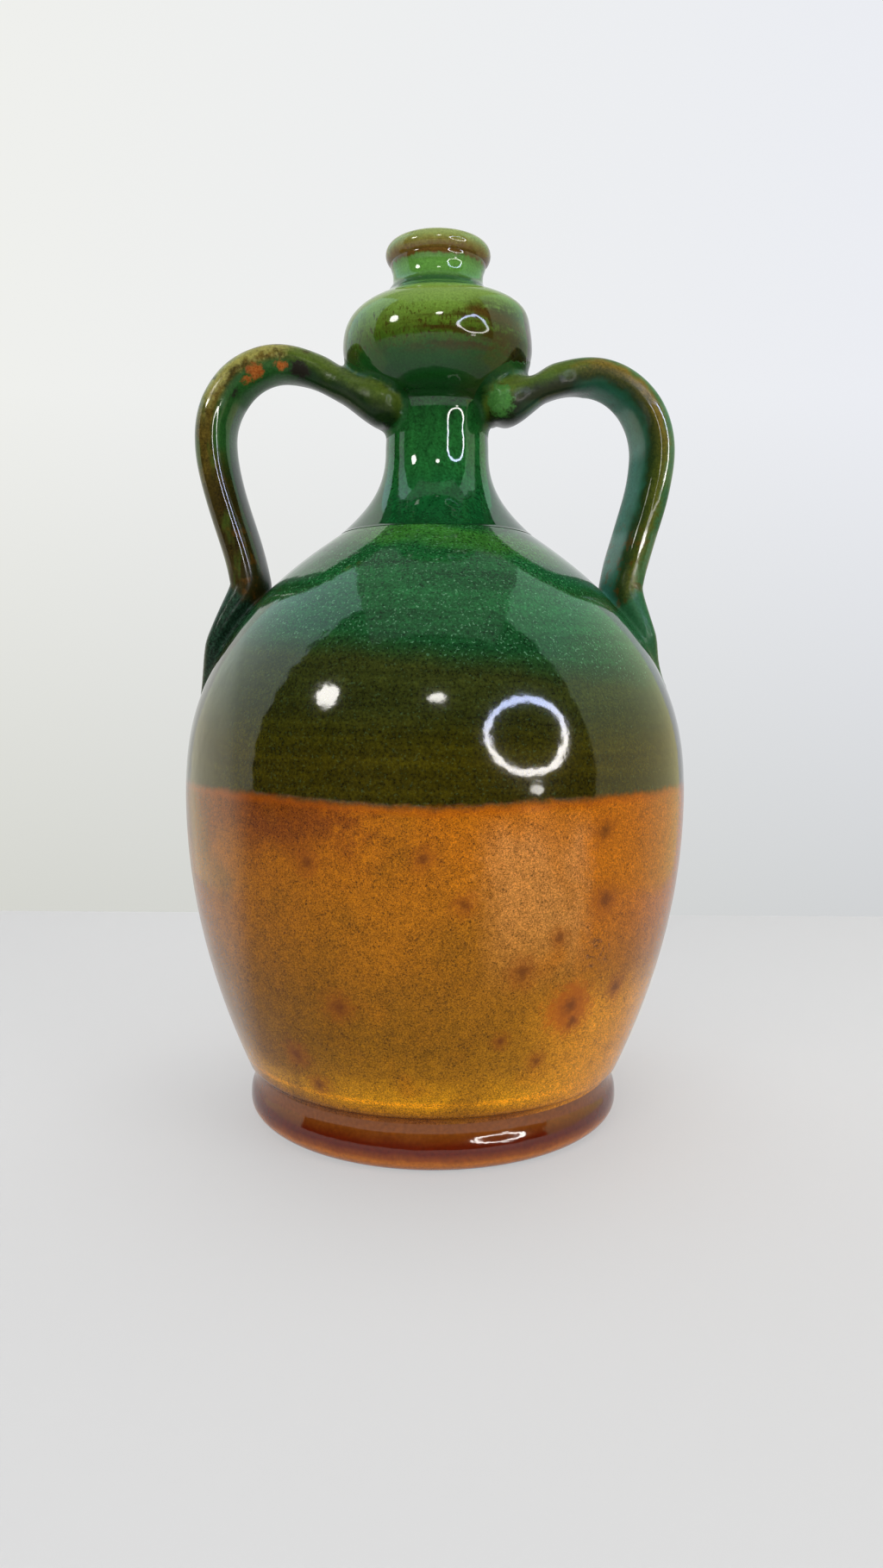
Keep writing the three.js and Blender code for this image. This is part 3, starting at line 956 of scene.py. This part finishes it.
def amber_colour(glaze):
    """Gold over the foot to brown under the green, in patches, with specks, painted lighter on the right
    and with painted shade on the left.
    """
    x, z = glaze.x, glaze.z
    patches = glaze.noise(24)
    mottle = glaze.noise(3.4, detail=3, roughness=0.6)
    level = z + glaze.noise(18) * 16 * z.fade(26, 44)
    deep = (z + patches * 40).fade(84, 100) * (x + mottle * 26).fade(-14, -28)
    warm = (x + patches * 30).fade(30, 48) * z.fade(40, 84)
    golden = x.fade(20, 46) * z.fade(62, 44)
    # pale is a painted reflection: a pale veil of the white floor and tent over the amber's front right
    ragged = x + mottle * 8
    pale = ragged.fade(8, 20) * ragged.fade(46, 38) * z.fade(52, 82) * z.fade(108, 98)
    olive = patches.fade(0.0, 0.18) * x.fade(24, 4)
    colour = level.ramp(AMBERS).layered(
        (deep * 0.95, (0.195, 0.045, 0.001)),
        (warm * 0.5, (0.40, 0.10, 0.001)),
        (golden * 0.85, (0.58, 0.225, 0.006)),
        (pale * 0.20, (0.62, 0.34, 0.13)),
        (olive * 0.7, (0.215, 0.080, 0.001)),
    )
    # Painted light and shade: the colour is made lighter towards the right, and darker in a band on the
    # left
    painted_shade_left = x.fade(-18, -40) * x.fade(-62, -50)
    colour = colour.shaded(x.fade(-8, 30) * 0.20 + painted_shade_left * -0.14)
    ruddy = patches.fade(-0.06, -0.24) * x.fade(-36, -12)
    colour = colour.covered(ruddy * 0.7, (0.41, 0.122, 0.001))
    speckle = glaze.noise(0.6, detail=3, roughness=0.7) * 2.6 + glaze.noise(0.3, detail=1) * 1.6
    colour = colour.shaded(speckle + mottle * 0.85)
    clots = glaze.noise(1.1, detail=3, roughness=0.7).fade(0.12, 0.24) * glaze.noise(11).fade(0.0, 0.2)
    return iron_spots(glaze, colour.covered(clots * 0.6, (0.12, 0.035, 0.002)))


def green_colour(glaze):
    """Olive that turns green up the shoulder, with throwing lines, grain, and pale and dark specks."""
    tilt = glaze.x * GREEN_TILT * glaze.z.fade(122, 146)
    level = glaze.z + tilt + glaze.noise(14) * 7
    colour = level.ramp(BODY_GREENS)
    colour = colour.shaded(glaze.noise(7, detail=3, stretch=(6, 6, 0.35)) * 1.3)
    colour = colour.shaded(glaze.noise(0.8, detail=3, roughness=0.65) * 3.0)
    colour = colour.shaded(glaze.noise(3.2, detail=3, roughness=0.6) * 0.9)
    specks = glaze.noise(0.7).fade(0.10, 0.22) * (level.fade(143, 152) * 0.85 + 0.15)
    colour = colour.covered(specks * 0.75, (0.13, 0.32, 0.17))
    dark = glaze.noise(1.0, detail=3).fade(0.08, 0.2) * level.fade(146, 156)
    return colour.covered(dark * 0.6, (0.004, 0.030, 0.010))


def body_relief(glaze, upper, pits):
    """Dimples, the green's thicker coat, grain, pits and slow waves, which are stronger on the left."""
    grain = glaze.noise(0.8) * (upper * -0.016 + 0.02)
    relief = orange_peel(glaze, 0.022) + upper * 0.05 + grain + pits * -0.35
    return relief + glaze.noise(9) * (glaze.x.fade(-12, -36) * 0.09 + 0.07)


def body_glaze():
    glaze = Glaze("body_glaze")
    x, z = glaze.x, glaze.z
    across = x * (1 / AMBER_SAG_WIDTH)
    sag = glaze.math("DIVIDE", AMBER_SAG, across * across + 1.0)
    wander = glaze.noise(9) * 2.0 + glaze.noise(2, detail=3) * 1.8
    over = z + sag + wander
    upper = over.fade(AMBER_LINE - 1.3, AMBER_LINE + 1.5)
    rim = over.fade(AMBER_LINE - 3.2, AMBER_LINE - 0.6)
    amber = amber_colour(glaze).covered(rim * 0.5, (0.36, 0.075, 0.001))
    colour = amber.covered(upper, green_colour(glaze))
    radius = glaze.math("SQRT", x * x + glaze.y * glaze.y)
    bare = z.fade(15.6, 15.0) * radius.fade(58, 56)
    colour = colour.covered(bare, (0.40, 0.19, 0.09))
    pits = glaze.spots([(on_body(*PITTED_PATCH), 1.0)], 2, 7) * glaze.noise(1.7).fade(0.06, 0.16)
    colour = colour.shaded(pits * -0.45)
    rough = (upper * -0.09 + 0.16).most(bare * 0.85)
    gloss = x.fade(-50, -60) * 0.46 + x.fade(55, 64) * 0.13 + 0.15
    return glaze.finish(colour, rough, body_relief(glaze, upper, pits), gloss.most(upper * 0.39))


FOOT_BROWNS = [
    (-0.2, (0.16, 0.045, 0.009)), (0.9, (0.28, 0.080, 0.010)), (1.6, (0.40, 0.115, 0.008)),
    (3.4, (0.48, 0.138, 0.006)), (4.6, (0.25, 0.052, 0.002)), (6.6, (0.115, 0.010, 0.001)),
    (8.6, (0.120, 0.012, 0.001)), (10.2, (0.17, 0.036, 0.003)), (12, (0.22, 0.060, 0.006)),
    (14.8, (0.20, 0.058, 0.008)),
]


def foot_glaze():
    """Red-brown, and bare clay at the ragged edge that stood on the kiln shelf."""
    glaze = Glaze("foot_glaze")
    colour = (glaze.z + glaze.noise(6) * 1.6).ramp(FOOT_BROWNS)
    colour = colour.shaded(glaze.noise(1.1, detail=3) * 0.8)
    bare = (glaze.z + glaze.noise(3.5, detail=3) * 2.2).fade(0.8, 0.3)
    colour = colour.covered(bare, (0.07, 0.028, 0.014))
    return glaze.finish(colour, bare * 0.6 + 0.075, orange_peel(glaze, 0.06), 0.45)


# Where a thumb pressed the right handle's end flat, and a dark mark on the knop over it
THUMB_MARK = (19.5, -16, 226.5)
KNOP_DARK_PATCH = (24.7, -14, 240.3)

# Colours of the green glaze by height, on the neck, the knop and the mouth
NECK_GREENS = [
    (186, (0.005, 0.055, 0.013)), (190, (0.005, 0.066, 0.016)), (197, (0.007, 0.084, 0.020)),
    (206, (0.012, 0.110, 0.022)), (216, (0.013, 0.108, 0.020)), (221, (0.010, 0.080, 0.015)),
    (226, (0.007, 0.055, 0.010)),
]
# The pale stop at 259.3 is pale glaze at the collar's foot with a painted highlight in the fillet there
KNOP_GREENS = [
    (229, (0.005, 0.036, 0.006)), (234, (0.006, 0.050, 0.008)), (239, (0.012, 0.070, 0.010)),
    (242, (0.040, 0.092, 0.007)), (246, (0.086, 0.155, 0.013)), (251, (0.140, 0.245, 0.036)),
    (255, (0.160, 0.265, 0.042)), (258.0, (0.165, 0.270, 0.046)), (259.3, (0.190, 0.310, 0.070)),
    (260.1, (0.050, 0.130, 0.034)), (260.8, (0.026, 0.090, 0.026)), (261.5, (0.060, 0.150, 0.036)),
]
MOUTH_GREENS = [
    (262.2, (0.022, 0.085, 0.025)), (263.4, (0.026, 0.100, 0.028)), (264.8, (0.080, 0.215, 0.038)),
    (266.6, (0.110, 0.285, 0.048)), (268.4, (0.115, 0.295, 0.050)), (270.2, (0.095, 0.225, 0.038)),
    (271.0, (0.115, 0.056, 0.010)), (272.4, (0.150, 0.080, 0.014)), (273.8, (0.20, 0.17, 0.034)),
    (275.6, (0.235, 0.285, 0.080)), (280, (0.235, 0.300, 0.095)),
]


def neck_glaze():
    glaze = Glaze("neck_glaze")
    drips = glaze.noise(4, stretch=(1, 1, 7))
    colour = (glaze.z + drips * 10).ramp(NECK_GREENS)
    colour = colour.shaded(glaze.noise(0.9, detail=3, roughness=0.65) * 2.6)
    colour = colour.shaded(glaze.noise(3.5, stretch=(1, 1, 3)) * 1.2)
    return glaze.finish(colour, 0.05, orange_peel(glaze, 0.025) + glaze.noise(6) * 0.05)


def knop_browns(glaze, colour):
    """Brown bands on the knop's right, a run of glaze, rust, clouds and a dark mark."""
    x, z = glaze.x, glaze.z
    bands = glaze.noise(6, detail=4, stretch=(3, 3, 0.45), roughness=0.65)
    top = z + x.fade(16, 4) * 4.5
    brown = (x + bands * 50).fade(-14, 8) * z.fade(235, 241) * top.fade(256, 250.5)
    brown = brown * (bands + glaze.noise(2.2, detail=3, roughness=0.65) * 0.7).fade(-0.16, 0.08)
    run = z + x * 0.10 + glaze.noise(1.2, detail=3) * 3
    run = run.fade(248.6, 249.8) * run.fade(252.4, 251) * x.fade(6, 13)
    rusty = glaze.noise(0.8, detail=3, stretch=(1, 1, 2)).fade(0.04, 0.16)
    rusty = rusty * z.fade(237, 242) * z.fade(254, 248)
    cloud = glaze.noise(7, detail=3, roughness=0.6).fade(0.0, 0.2) * z.fade(256, 244) * z.fade(236, 241)
    tarnish = x.fade(2, 22) * z.fade(258, 250) * bands.fade(-0.3, 0.1)
    return colour.layered(
        (brown * 0.92, (0.040, 0.026, 0.003)),
        (run * 0.8, (0.085, 0.040, 0.006)),
        (rusty * 0.75, (0.040, 0.021, 0.003)),
        (cloud * 0.7, (0.034, 0.034, 0.004)),
        (tarnish * 0.5, (0.058, 0.044, 0.007)),
        (glaze.spots([(KNOP_DARK_PATCH, 1.0)], 2, 7.5) * 0.9, (0.012, 0.010, 0.002)),
    )


def mouth_glaze():
    """Green on the knop and the mouth, breaking to brown at the lip."""
    glaze = Glaze("mouth_glaze")
    x, z = glaze.x, glaze.z
    streaks = glaze.noise(1.6, detail=3, stretch=(1, 1, 6)) * 2.6
    lift = (streaks + glaze.noise(6) * 1.5) * z.fade(258, 254)
    colour = (z + lift + streaks * z.fade(268, 271)).ramp(KNOP_GREENS + MOUTH_GREENS)
    colour = knop_browns(glaze, colour)
    colour = colour.shaded(glaze.noise(0.6) * 0.9)
    relief = orange_peel(glaze, 0.02) + glaze.noise(6) * 0.10 * z.fade(262, 256)
    gloss = x.fade(2, 14) * -0.12 + z.fade(248, 244) * -0.10 + 0.42
    return glaze.finish(colour, 0.06, relief, gloss)


# Colours of the left handle from its dark green back to its brown crest
LEFT_STRAP = [
    (-0.35, (0.004, 0.026, 0.009)), (0.1, (0.007, 0.034, 0.009)), (0.45, (0.022, 0.036, 0.006)),
    (0.75, (0.040, 0.030, 0.004)), (1.05, (0.085, 0.058, 0.008)), (1.4, (0.14, 0.10, 0.016)),
]

# Colours of the right handle, above and below: teal inside, partly a painted reflection of the pale
# tent, brown to olive in front, green outside
RIGHT_UPPER = [
    (-1, (0.034, 0.145, 0.100)), (-0.6, (0.020, 0.092, 0.050)), (-0.3, (0.018, 0.032, 0.009)),
    (0.1, (0.058, 0.055, 0.010)), (0.5, (0.185, 0.128, 0.020)), (0.75, (0.076, 0.115, 0.024)),
    (1, (0.030, 0.115, 0.040)),
]
RIGHT_LOWER = [
    (-1, (0.036, 0.160, 0.115)), (-0.6, (0.022, 0.105, 0.058)), (-0.3, (0.016, 0.036, 0.009)),
    (0.1, (0.040, 0.056, 0.008)), (0.5, (0.090, 0.100, 0.012)), (0.75, (0.044, 0.115, 0.032)),
    (1, (0.026, 0.110, 0.045)),
]


def left_handle_colour(glaze, outward, grain):
    """Brown on the crest, mottled on top, with earthy and green streaks down the strap."""
    x, z = glaze.x, glaze.z
    forward = glaze.math("ABSOLUTE", glaze.measure("forward"))
    crest = forward * 0.9 + outward * 0.35 + glaze.noise(6, detail=3) * 1.6
    outer = outward + glaze.noise(2.6, detail=3, roughness=0.6) * 2.0
    mottled = outer.fade(0.0, 0.6) * outer.fade(1.3, 0.7) * z.fade(218, 234)
    earth = z.fade(212, 196) * crest.fade(-0.5, 0.3)
    pulled = glaze.noise(3, stretch=(1, 1, 5)).fade(0.0, 0.16)
    pulled = pulled * outward.fade(-0.3, 0.1) * x.fade(5, -5) * z.fade(232, 222)
    lush = z.fade(206, 217) * outward.fade(0.15, -0.25) * x.fade(-30, -45)
    return (crest + grain * 0.9).ramp(LEFT_STRAP).layered(
        (mottled * 0.8, (0.30, 0.285, 0.070)),
        (earth * 0.85, (0.023, 0.016, 0.003)),
        (pulled * 0.75, (0.048, 0.080, 0.010)),
        (lush * 0.85, (0.022, 0.100, 0.020)),
    )


def right_handle_colour(glaze, outward, grain):
    over = outward + glaze.noise(5, detail=3) * 0.7 + grain * 0.5
    return over.ramp(RIGHT_UPPER).covered(glaze.z.fade(228, 205), over.ramp(RIGHT_LOWER))


def pressed_end_colour(glaze, outward):
    """Green where the strap was pressed on the neck, with painted shade on its underside, and brown
    strokes on top.
    """
    # Painted shade: dark green under the left end and dark brown under the right end
    painted_shade_under = glaze.mix(glaze.x.fade(-5, 5), (0.006, 0.022, 0.005), (0.012, 0.011, 0.003))
    facing = outward + glaze.noise(4) * 0.6
    colour = painted_shade_under.covered(facing.fade(-0.5, 0.35), (0.062, 0.110, 0.012))
    strokes = glaze.noise(2.4, detail=3, stretch=(3, 1, 1)).fade(0.05, 0.2) * outward.fade(0.2, 0.7)
    return colour.covered(strokes * 0.8, (0.034, 0.018, 0.003))


def tail_colour(glaze, grain):
    dark = glaze.mix(grain.fade(-0.1, 0.15), (0.006, 0.018, 0.009), (0.016, 0.048, 0.026))
    return dark.covered(glaze.x.fade(-10, 10), (0.022, 0.105, 0.040))


def handle_ends(glaze, colour, outward, off_pot, grain):
    """A strap's pressed end with its thumb mark, its tail, and the pot's own glaze at the joint."""
    z = glaze.z
    pressed = (off_pot + glaze.noise(5) * 10).fade(21, 12) * z.fade(205, 212)
    slant = (glaze.math("ABSOLUTE", glaze.x) + -65.0) * -0.9
    ragged = z + slant + glaze.noise(3) * 6
    joint = (off_pot + glaze.noise(3) * 3).fade(2.4, 0.2) * z.fade(196, 206)
    return colour.layered(
        (pressed * 0.9, pressed_end_colour(glaze, outward)),
        (glaze.spots([(THUMB_MARK, 1.0)], 3.6, 5.6), (0.055, 0.18, 0.035)),
        (ragged.fade(173, 168), tail_colour(glaze, grain)),
        (joint, z.ramp(NECK_GREENS + KNOP_GREENS)),
    )


def handle_shine(glaze, outward, off_pot, worn):
    """Roughness and gloss: dull where worn, at the pressed ends, on the tails and on some flanks."""
    z = glaze.z
    right = glaze.x.fade(5, 20)
    soft = (off_pot.fade(44, 26) * z.fade(208, 216)).most(z.fade(180, 172))
    flank = outward.fade(-0.05, -0.4) * right
    rough = ((worn * 0.5).most(soft * 0.18) + 0.07).most(flank * 0.22)
    front = outward.fade(-0.5, -0.3) * outward.fade(0.45, 0.2) * right
    back = outward.fade(-0.15, -0.45) * outward.fade(-0.95, -0.75) * glaze.x.fade(20, 5)
    matt = (z + outward.fade(0.4, 0.15) * -10.0).fade(206, 200) * z.fade(186, 190) * right
    dull = (worn * -0.4).least(soft * -0.38).least(front * -0.28 + back * -0.22).least(matt * -0.40)
    return rough, dull + 0.5


def handle_glaze():
    glaze = Glaze("handle_glaze")
    outward = glaze.measure("outward")
    off_pot = glaze.measure("off_pot")
    grain = glaze.noise(0.8, detail=3, roughness=0.65)
    left = left_handle_colour(glaze, outward, grain)
    colour = left.covered(glaze.x.fade(5, 20), right_handle_colour(glaze, outward, grain))
    rust = glaze.noise(3).fade(0.05, 0.16) * glaze.z.fade(200, 182)
    colour = colour.covered(rust * 0.5, (0.10, 0.042, 0.005))
    colour = handle_ends(glaze, colour, outward, off_pot, grain)
    colour = colour.shaded(grain * 1.3)
    chips = glaze.spots(LEFT.chips[:BARE_CHIPS], 0.85, 1.5)
    scars = glaze.spots(LEFT.chips[BARE_CHIPS:], 0.9, 1.8)
    colour = colour.covered(scars, (0.010, 0.008, 0.004))
    clay = glaze.mix(grain.fade(-0.15, 0.15), (0.24, 0.055, 0.006), (0.44, 0.125, 0.018))
    colour = colour.covered(chips, clay)
    rough, gloss = handle_shine(glaze, outward, off_pot, chips.most(scars))
    return glaze.finish(colour, rough, orange_peel(glaze, 0.025), gloss)


# Stage, lamps and camera, in metres

# The camera's place, its pitch and roll in degrees, and its focal length in pixels of the picture
CAMERA_PLACE = (0.0021, -0.3594, 0.1394)
CAMERA_PITCH = 5.2
CAMERA_ROLL = 0.37
PICTURE_HEIGHT = 1819
FOCAL_PIXELS = 1263
SENSOR = 36

WALL_PLACE = 0.297
STAGE_HALF_WIDTH = 1.6
STAGE_FRONT = -1.6
STAGE_HEIGHT = 1.4

# The floor's colour, and how far and how brightly it glows to the camera
FLOOR_COLOUR = (0.76, 0.76, 0.755)
FLOOR_SHARE = 0.6
FLOOR_GLOW = 0.72

# The wall's glow at its foot and higher up, and its tint on the left and the right
WALL_COLOUR = (0.8, 0.8, 0.8)
WALL_FADE = 0.31
WALL_LOW = (0.655, 0.66, 0.64)
WALL_HIGH = (0.855, 0.86, 0.865)
WALL_LEFT = (1.015, 1.015, 0.97)
WALL_RIGHT = (0.97, 0.985, 1.04)
COOL_WHITE = (0.985, 0.99, 1.0)


def painted(name, **named):
    """A material with values at its shader's named inputs."""
    material = bpy.data.materials.new(name)
    material.use_nodes = True
    give(material, **named)
    return material


def plain(name, colour):
    return painted(name, Base_Color=colour, Roughness=0.75, Specular_IOR_Level=0.2)


def emitting(name, strength, colour=(1, 1, 1)):
    return painted(
        name, Base_Color=(0, 0, 0), Specular_IOR_Level=0,
        Emission_Color=colour, Emission_Strength=strength,
    )


def seen_white(material, share, strength):
    """Lets a material glow white, by a share, to the camera and in reflections."""
    tree = material.node_tree
    rays = add_node(tree, "ShaderNodeLightPath").outputs
    seen = [rays["Is Camera Ray"], rays["Is Glossy Ray"]]
    seen = add_node(tree, "ShaderNodeMath", *seen, operation="MAXIMUM").outputs[0]
    part = add_node(tree, "ShaderNodeMath", seen, share, operation="MULTIPLY").outputs[0]
    white = add_node(tree, "ShaderNodeEmission", COOL_WHITE, strength).outputs[0]
    painted_face = tree.nodes["Principled BSDF"].outputs[0]
    shown = add_node(tree, "ShaderNodeMixShader", part, painted_face, white).outputs[0]
    put(tree, tree.nodes["Material Output"].inputs["Surface"], shown)
    return shown


def floor_material():
    material = plain("floor", FLOOR_COLOUR)
    seen_white(material, FLOOR_SHARE, FLOOR_GLOW)
    return material


def by_place(tree, axis, low, high, first, last):
    """A colour that goes from one to another along an axis of the stage."""
    place = add_node(tree, "ShaderNodeNewGeometry").outputs["Position"]
    along = add_node(tree, "ShaderNodeSeparateXYZ", place).outputs[axis]
    share = add_node(tree, "ShaderNodeMapRange", Value=along, From_Min=low, From_Max=high)
    return mixed(tree, share.outputs[0], first, last)


def wall_material():
    """White to the camera and in reflections, greyer towards the floor, and open from behind."""
    material = plain("wall", WALL_COLOUR)
    shown = seen_white(material, 1.0, 1.0)
    tree = material.node_tree
    glow = by_place(tree, "Z", 0, WALL_FADE, WALL_LOW, WALL_HIGH)
    tint = by_place(tree, "X", -WALL_FADE, WALL_FADE, WALL_LEFT, WALL_RIGHT)
    put(tree, tree.nodes["Emission"].inputs["Color"], mixed(tree, 1.0, glow, tint, "MULTIPLY"))
    clear = add_node(tree, "ShaderNodeBsdfTransparent").outputs[0]
    behind = add_node(tree, "ShaderNodeNewGeometry").outputs["Backfacing"]
    sided = add_node(tree, "ShaderNodeMixShader", behind, shown, clear).outputs[0]
    put(tree, tree.nodes["Material Output"].inputs["Surface"], sided)
    return material


def add_sheet(name, corners, material):
    """A four-cornered sheet, facing the side that its corners run anticlockwise on."""
    mesh = bpy.data.meshes.new(name)
    mesh.from_pydata(corners, [], [(0, 1, 2, 3)])
    sheet = bpy.data.objects.new(name, mesh)
    bpy.context.scene.collection.objects.link(sheet)
    sheet.data.materials.append(material)
    return sheet


def only_in_reflections(thing):
    thing.visible_camera = False
    thing.visible_diffuse = False
    thing.visible_shadow = False
    thing.visible_transmission = False


def level_sheet(half_width, front, height):
    """Corners of a level sheet from a front edge back to the wall."""
    near = [(-half_width, front, height), (half_width, front, height)]
    return near + [(half_width, WALL_PLACE, height), (-half_width, WALL_PLACE, height)]


def side_sheet(x, front, height):
    """Corners of an upright sheet from a front edge back to the wall."""
    return [(x, front, 0), (x, WALL_PLACE, 0), (x, WALL_PLACE, height), (x, front, height)]


def add_stage():
    wide, back, tall = STAGE_HALF_WIDTH, WALL_PLACE, STAGE_HEIGHT
    wall = [(-wide, back, 0), (wide, back, 0), (wide, back, tall), (-wide, back, tall)]
    add_sheet("floor", level_sheet(wide, STAGE_FRONT, 0), floor_material())
    add_sheet("back_wall", wall, wall_material())


# White panels of the tent that the glaze reflects, where their front edges stand, and their colours
TENT_HALF_WIDTH = 0.30
TENT_HEIGHT = 0.79
TENT_LEFT_FRONT = -0.076
TENT_RIGHT_FRONT = -0.139
TENT_TOP_FRONT = -0.32
TENT_LEFT_LOW = (0.96, 0.93, 0.74)
TENT_LEFT_HIGH = (0.92, 1.34, 1.38)
TENT_RIGHT_LOW = (0.94, 0.88, 0.50)
TENT_RIGHT_HIGH = (0.76, 1.36, 1.0)
TENT_TURN = (0.15, 0.45)
CEILING_COLOUR = (0.9, 0.97, 1.0)
CEILING_STRENGTH = 0.32


def two_toned(name, strength, below, above, bottom, top):
    """Glows in one colour below a height and in another above it."""
    material = emitting(name, strength)
    give(material, Emission_Color=by_place(material.node_tree, "Z", bottom, top, below, above))
    return material


def add_tent():
    wide, tall = TENT_HALF_WIDTH, TENT_HEIGHT
    left_light = two_toned("tent_left", 1.0, TENT_LEFT_LOW, TENT_LEFT_HIGH, *TENT_TURN)
    right_light = two_toned("tent_right", 1.0, TENT_RIGHT_LOW, TENT_RIGHT_HIGH, *TENT_TURN)
    ceiling = emitting("tent_ceiling", CEILING_STRENGTH, CEILING_COLOUR)
    only_in_reflections(add_sheet("tent_left", side_sheet(-wide, TENT_LEFT_FRONT, tall), left_light))
    only_in_reflections(add_sheet("tent_right", side_sheet(wide, TENT_RIGHT_FRONT, tall), right_light))
    only_in_reflections(add_sheet("tent_top", level_sheet(wide, TENT_TOP_FRONT, tall), ceiling))


# The ring lamp and small lamps seen in the glaze: their place, radius, squash and strength
GLINT_CENTRE = (0.01, -0.06, 0.16)
RING_PLACE = (0.476, -0.542, 0.387)
RING_RADIUS = 0.232
RING_SQUASH = 0.87
RING_TUBE = 0.0185
RING_STRENGTH = 27
RING_LOW = (1.0, 0.96, 0.92)
RING_HIGH = (0.58, 0.66, 1.0)
RING_TURN = (RING_PLACE[2] - 0.06, RING_PLACE[2] + 0.16)
SMALL_LAMP_COLOUR = (1.0, 0.97, 0.92)
SMALL_LAMPS = (
    ((-0.435, -0.334, 0.490), 0.056, 0.85, 24),
    ((0.019, -0.606, 0.592), 0.050, 0.58, 24),
    ((0.523, -0.569, 0.132), 0.040, 0.55, 16),
)


def add_glint(name, outline, place, material, squash):
    """A lamp that only shows in the glaze, turned to face the jug."""
    lamp = turned(name, outline, uneven=False)
    aim = Vector(place) - Vector(GLINT_CENTRE)
    facing = aim.to_track_quat("Z", "Y").to_matrix().to_4x4()
    lamp.matrix_world = Matrix.Translation(place) @ facing @ Matrix.Diagonal((1, squash, 1, 1))
    lamp.data.materials.append(material)
    only_in_reflections(lamp)


def add_glints():
    tube = RING_TUBE / MM
    section = ellipse(point(RING_RADIUS / MM, 0), tube, tube, 0, 345, 23)
    light = two_toned("ring_lamp", RING_STRENGTH, RING_LOW, RING_HIGH, *RING_TURN)
    add_glint("ring_lamp", section, RING_PLACE, light, RING_SQUASH)
    for number, (place, radius, squash, strength) in enumerate(SMALL_LAMPS):
        ball = ellipse(point(0, 0), radius / MM, radius / MM, -90, 90, 16)
        name = f"small_lamp_{number}"
        add_glint(name, ball, place, emitting(name, strength, SMALL_LAMP_COLOUR), squash)


# Soft lamps that light the jug: place, size in metres and power in watts
LAMP_AIM = (0, 0, 0.13)
SOFT_LAMPS = {
    "top_lamp": ((0, -0.05, 0.95), 0.7, 4.5),
    "front_lamp": ((-0.45, -1.15, 0.55), 0.9, 9.4),
    "right_lamp": ((0.95, -0.75, 0.5), 0.7, 4.8),
}
ROOM_COLOUR = (0.10, 0.10, 0.105)
ROOM_STRENGTH = 0.35
PALE_STRENGTH = 0.82


def add_lamps():
    """Square lamps that don't show in the glaze."""
    for name, (place, size, power) in SOFT_LAMPS.items():
        lamp = bpy.data.lights.new(name, "AREA")
        lamp.size = size
        lamp.energy = power
        thing = bpy.data.objects.new(name, lamp)
        thing.location = place
        thing.rotation_euler = (Vector(LAMP_AIM) - Vector(place)).to_track_quat("-Z", "Y").to_euler()
        thing.visible_glossy = False
        bpy.context.scene.collection.objects.link(thing)


def add_world():
    """A dark room for reflections, pale where the camera looks past the stage."""
    world = bpy.data.worlds.new("room")
    bpy.context.scene.world = world
    world.use_nodes = True
    tree = world.node_tree
    room = tree.nodes["Background"]
    put(tree, room.inputs["Color"], ROOM_COLOUR)
    put(tree, room.inputs["Strength"], ROOM_STRENGTH)
    pale = add_node(tree, "ShaderNodeBackground", COOL_WHITE, PALE_STRENGTH).outputs[0]
    seen = add_node(tree, "ShaderNodeLightPath").outputs["Is Camera Ray"]
    both = add_node(tree, "ShaderNodeMixShader", seen, room.outputs[0], pale).outputs[0]
    put(tree, tree.nodes["World Output"].inputs["Surface"], both)


def add_camera():
    camera = bpy.data.cameras.new("camera")
    camera.sensor_width = SENSOR
    camera.lens = SENSOR * FOCAL_PIXELS / PICTURE_HEIGHT
    camera.clip_start = 0.01
    thing = bpy.data.objects.new("camera", camera)
    pitched = Matrix.Rotation(math.radians(90 - CAMERA_PITCH), 4, "X")
    rolled = Matrix.Rotation(math.radians(CAMERA_ROLL), 4, "Z")
    thing.matrix_world = Matrix.Translation(CAMERA_PLACE) @ pitched @ rolled
    bpy.context.scene.collection.objects.link(thing)
    bpy.context.scene.camera = thing


def add_piece(piece, node, material):
    piece.data.materials.append(material)
    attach(piece, "root")
    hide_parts(node)


def add_jug():
    mouth = mouth_glaze()
    handles = handle_glaze()
    add_piece(turned("foot_ring_glazed", foot_outline()), "foot_ring", foot_glaze())
    add_piece(turned("body_glazed", body_outline()), "body", body_glaze())
    add_piece(turned("neck_glazed", neck_outline()), "neck", neck_glaze())
    add_piece(turned("knop_glazed", knop_outline()), "knop", mouth)
    add_piece(turned("mouth_glazed", mouth_outline()), "mouth", mouth)
    for handle in (LEFT, RIGHT):
        add_piece(make_handle(handle), handle.node, handles)


bpy.context.scene.view_settings.view_transform = "Standard"
add_camera()
add_stage()
add_tent()
add_glints()
add_lamps()
add_world()
add_jug()
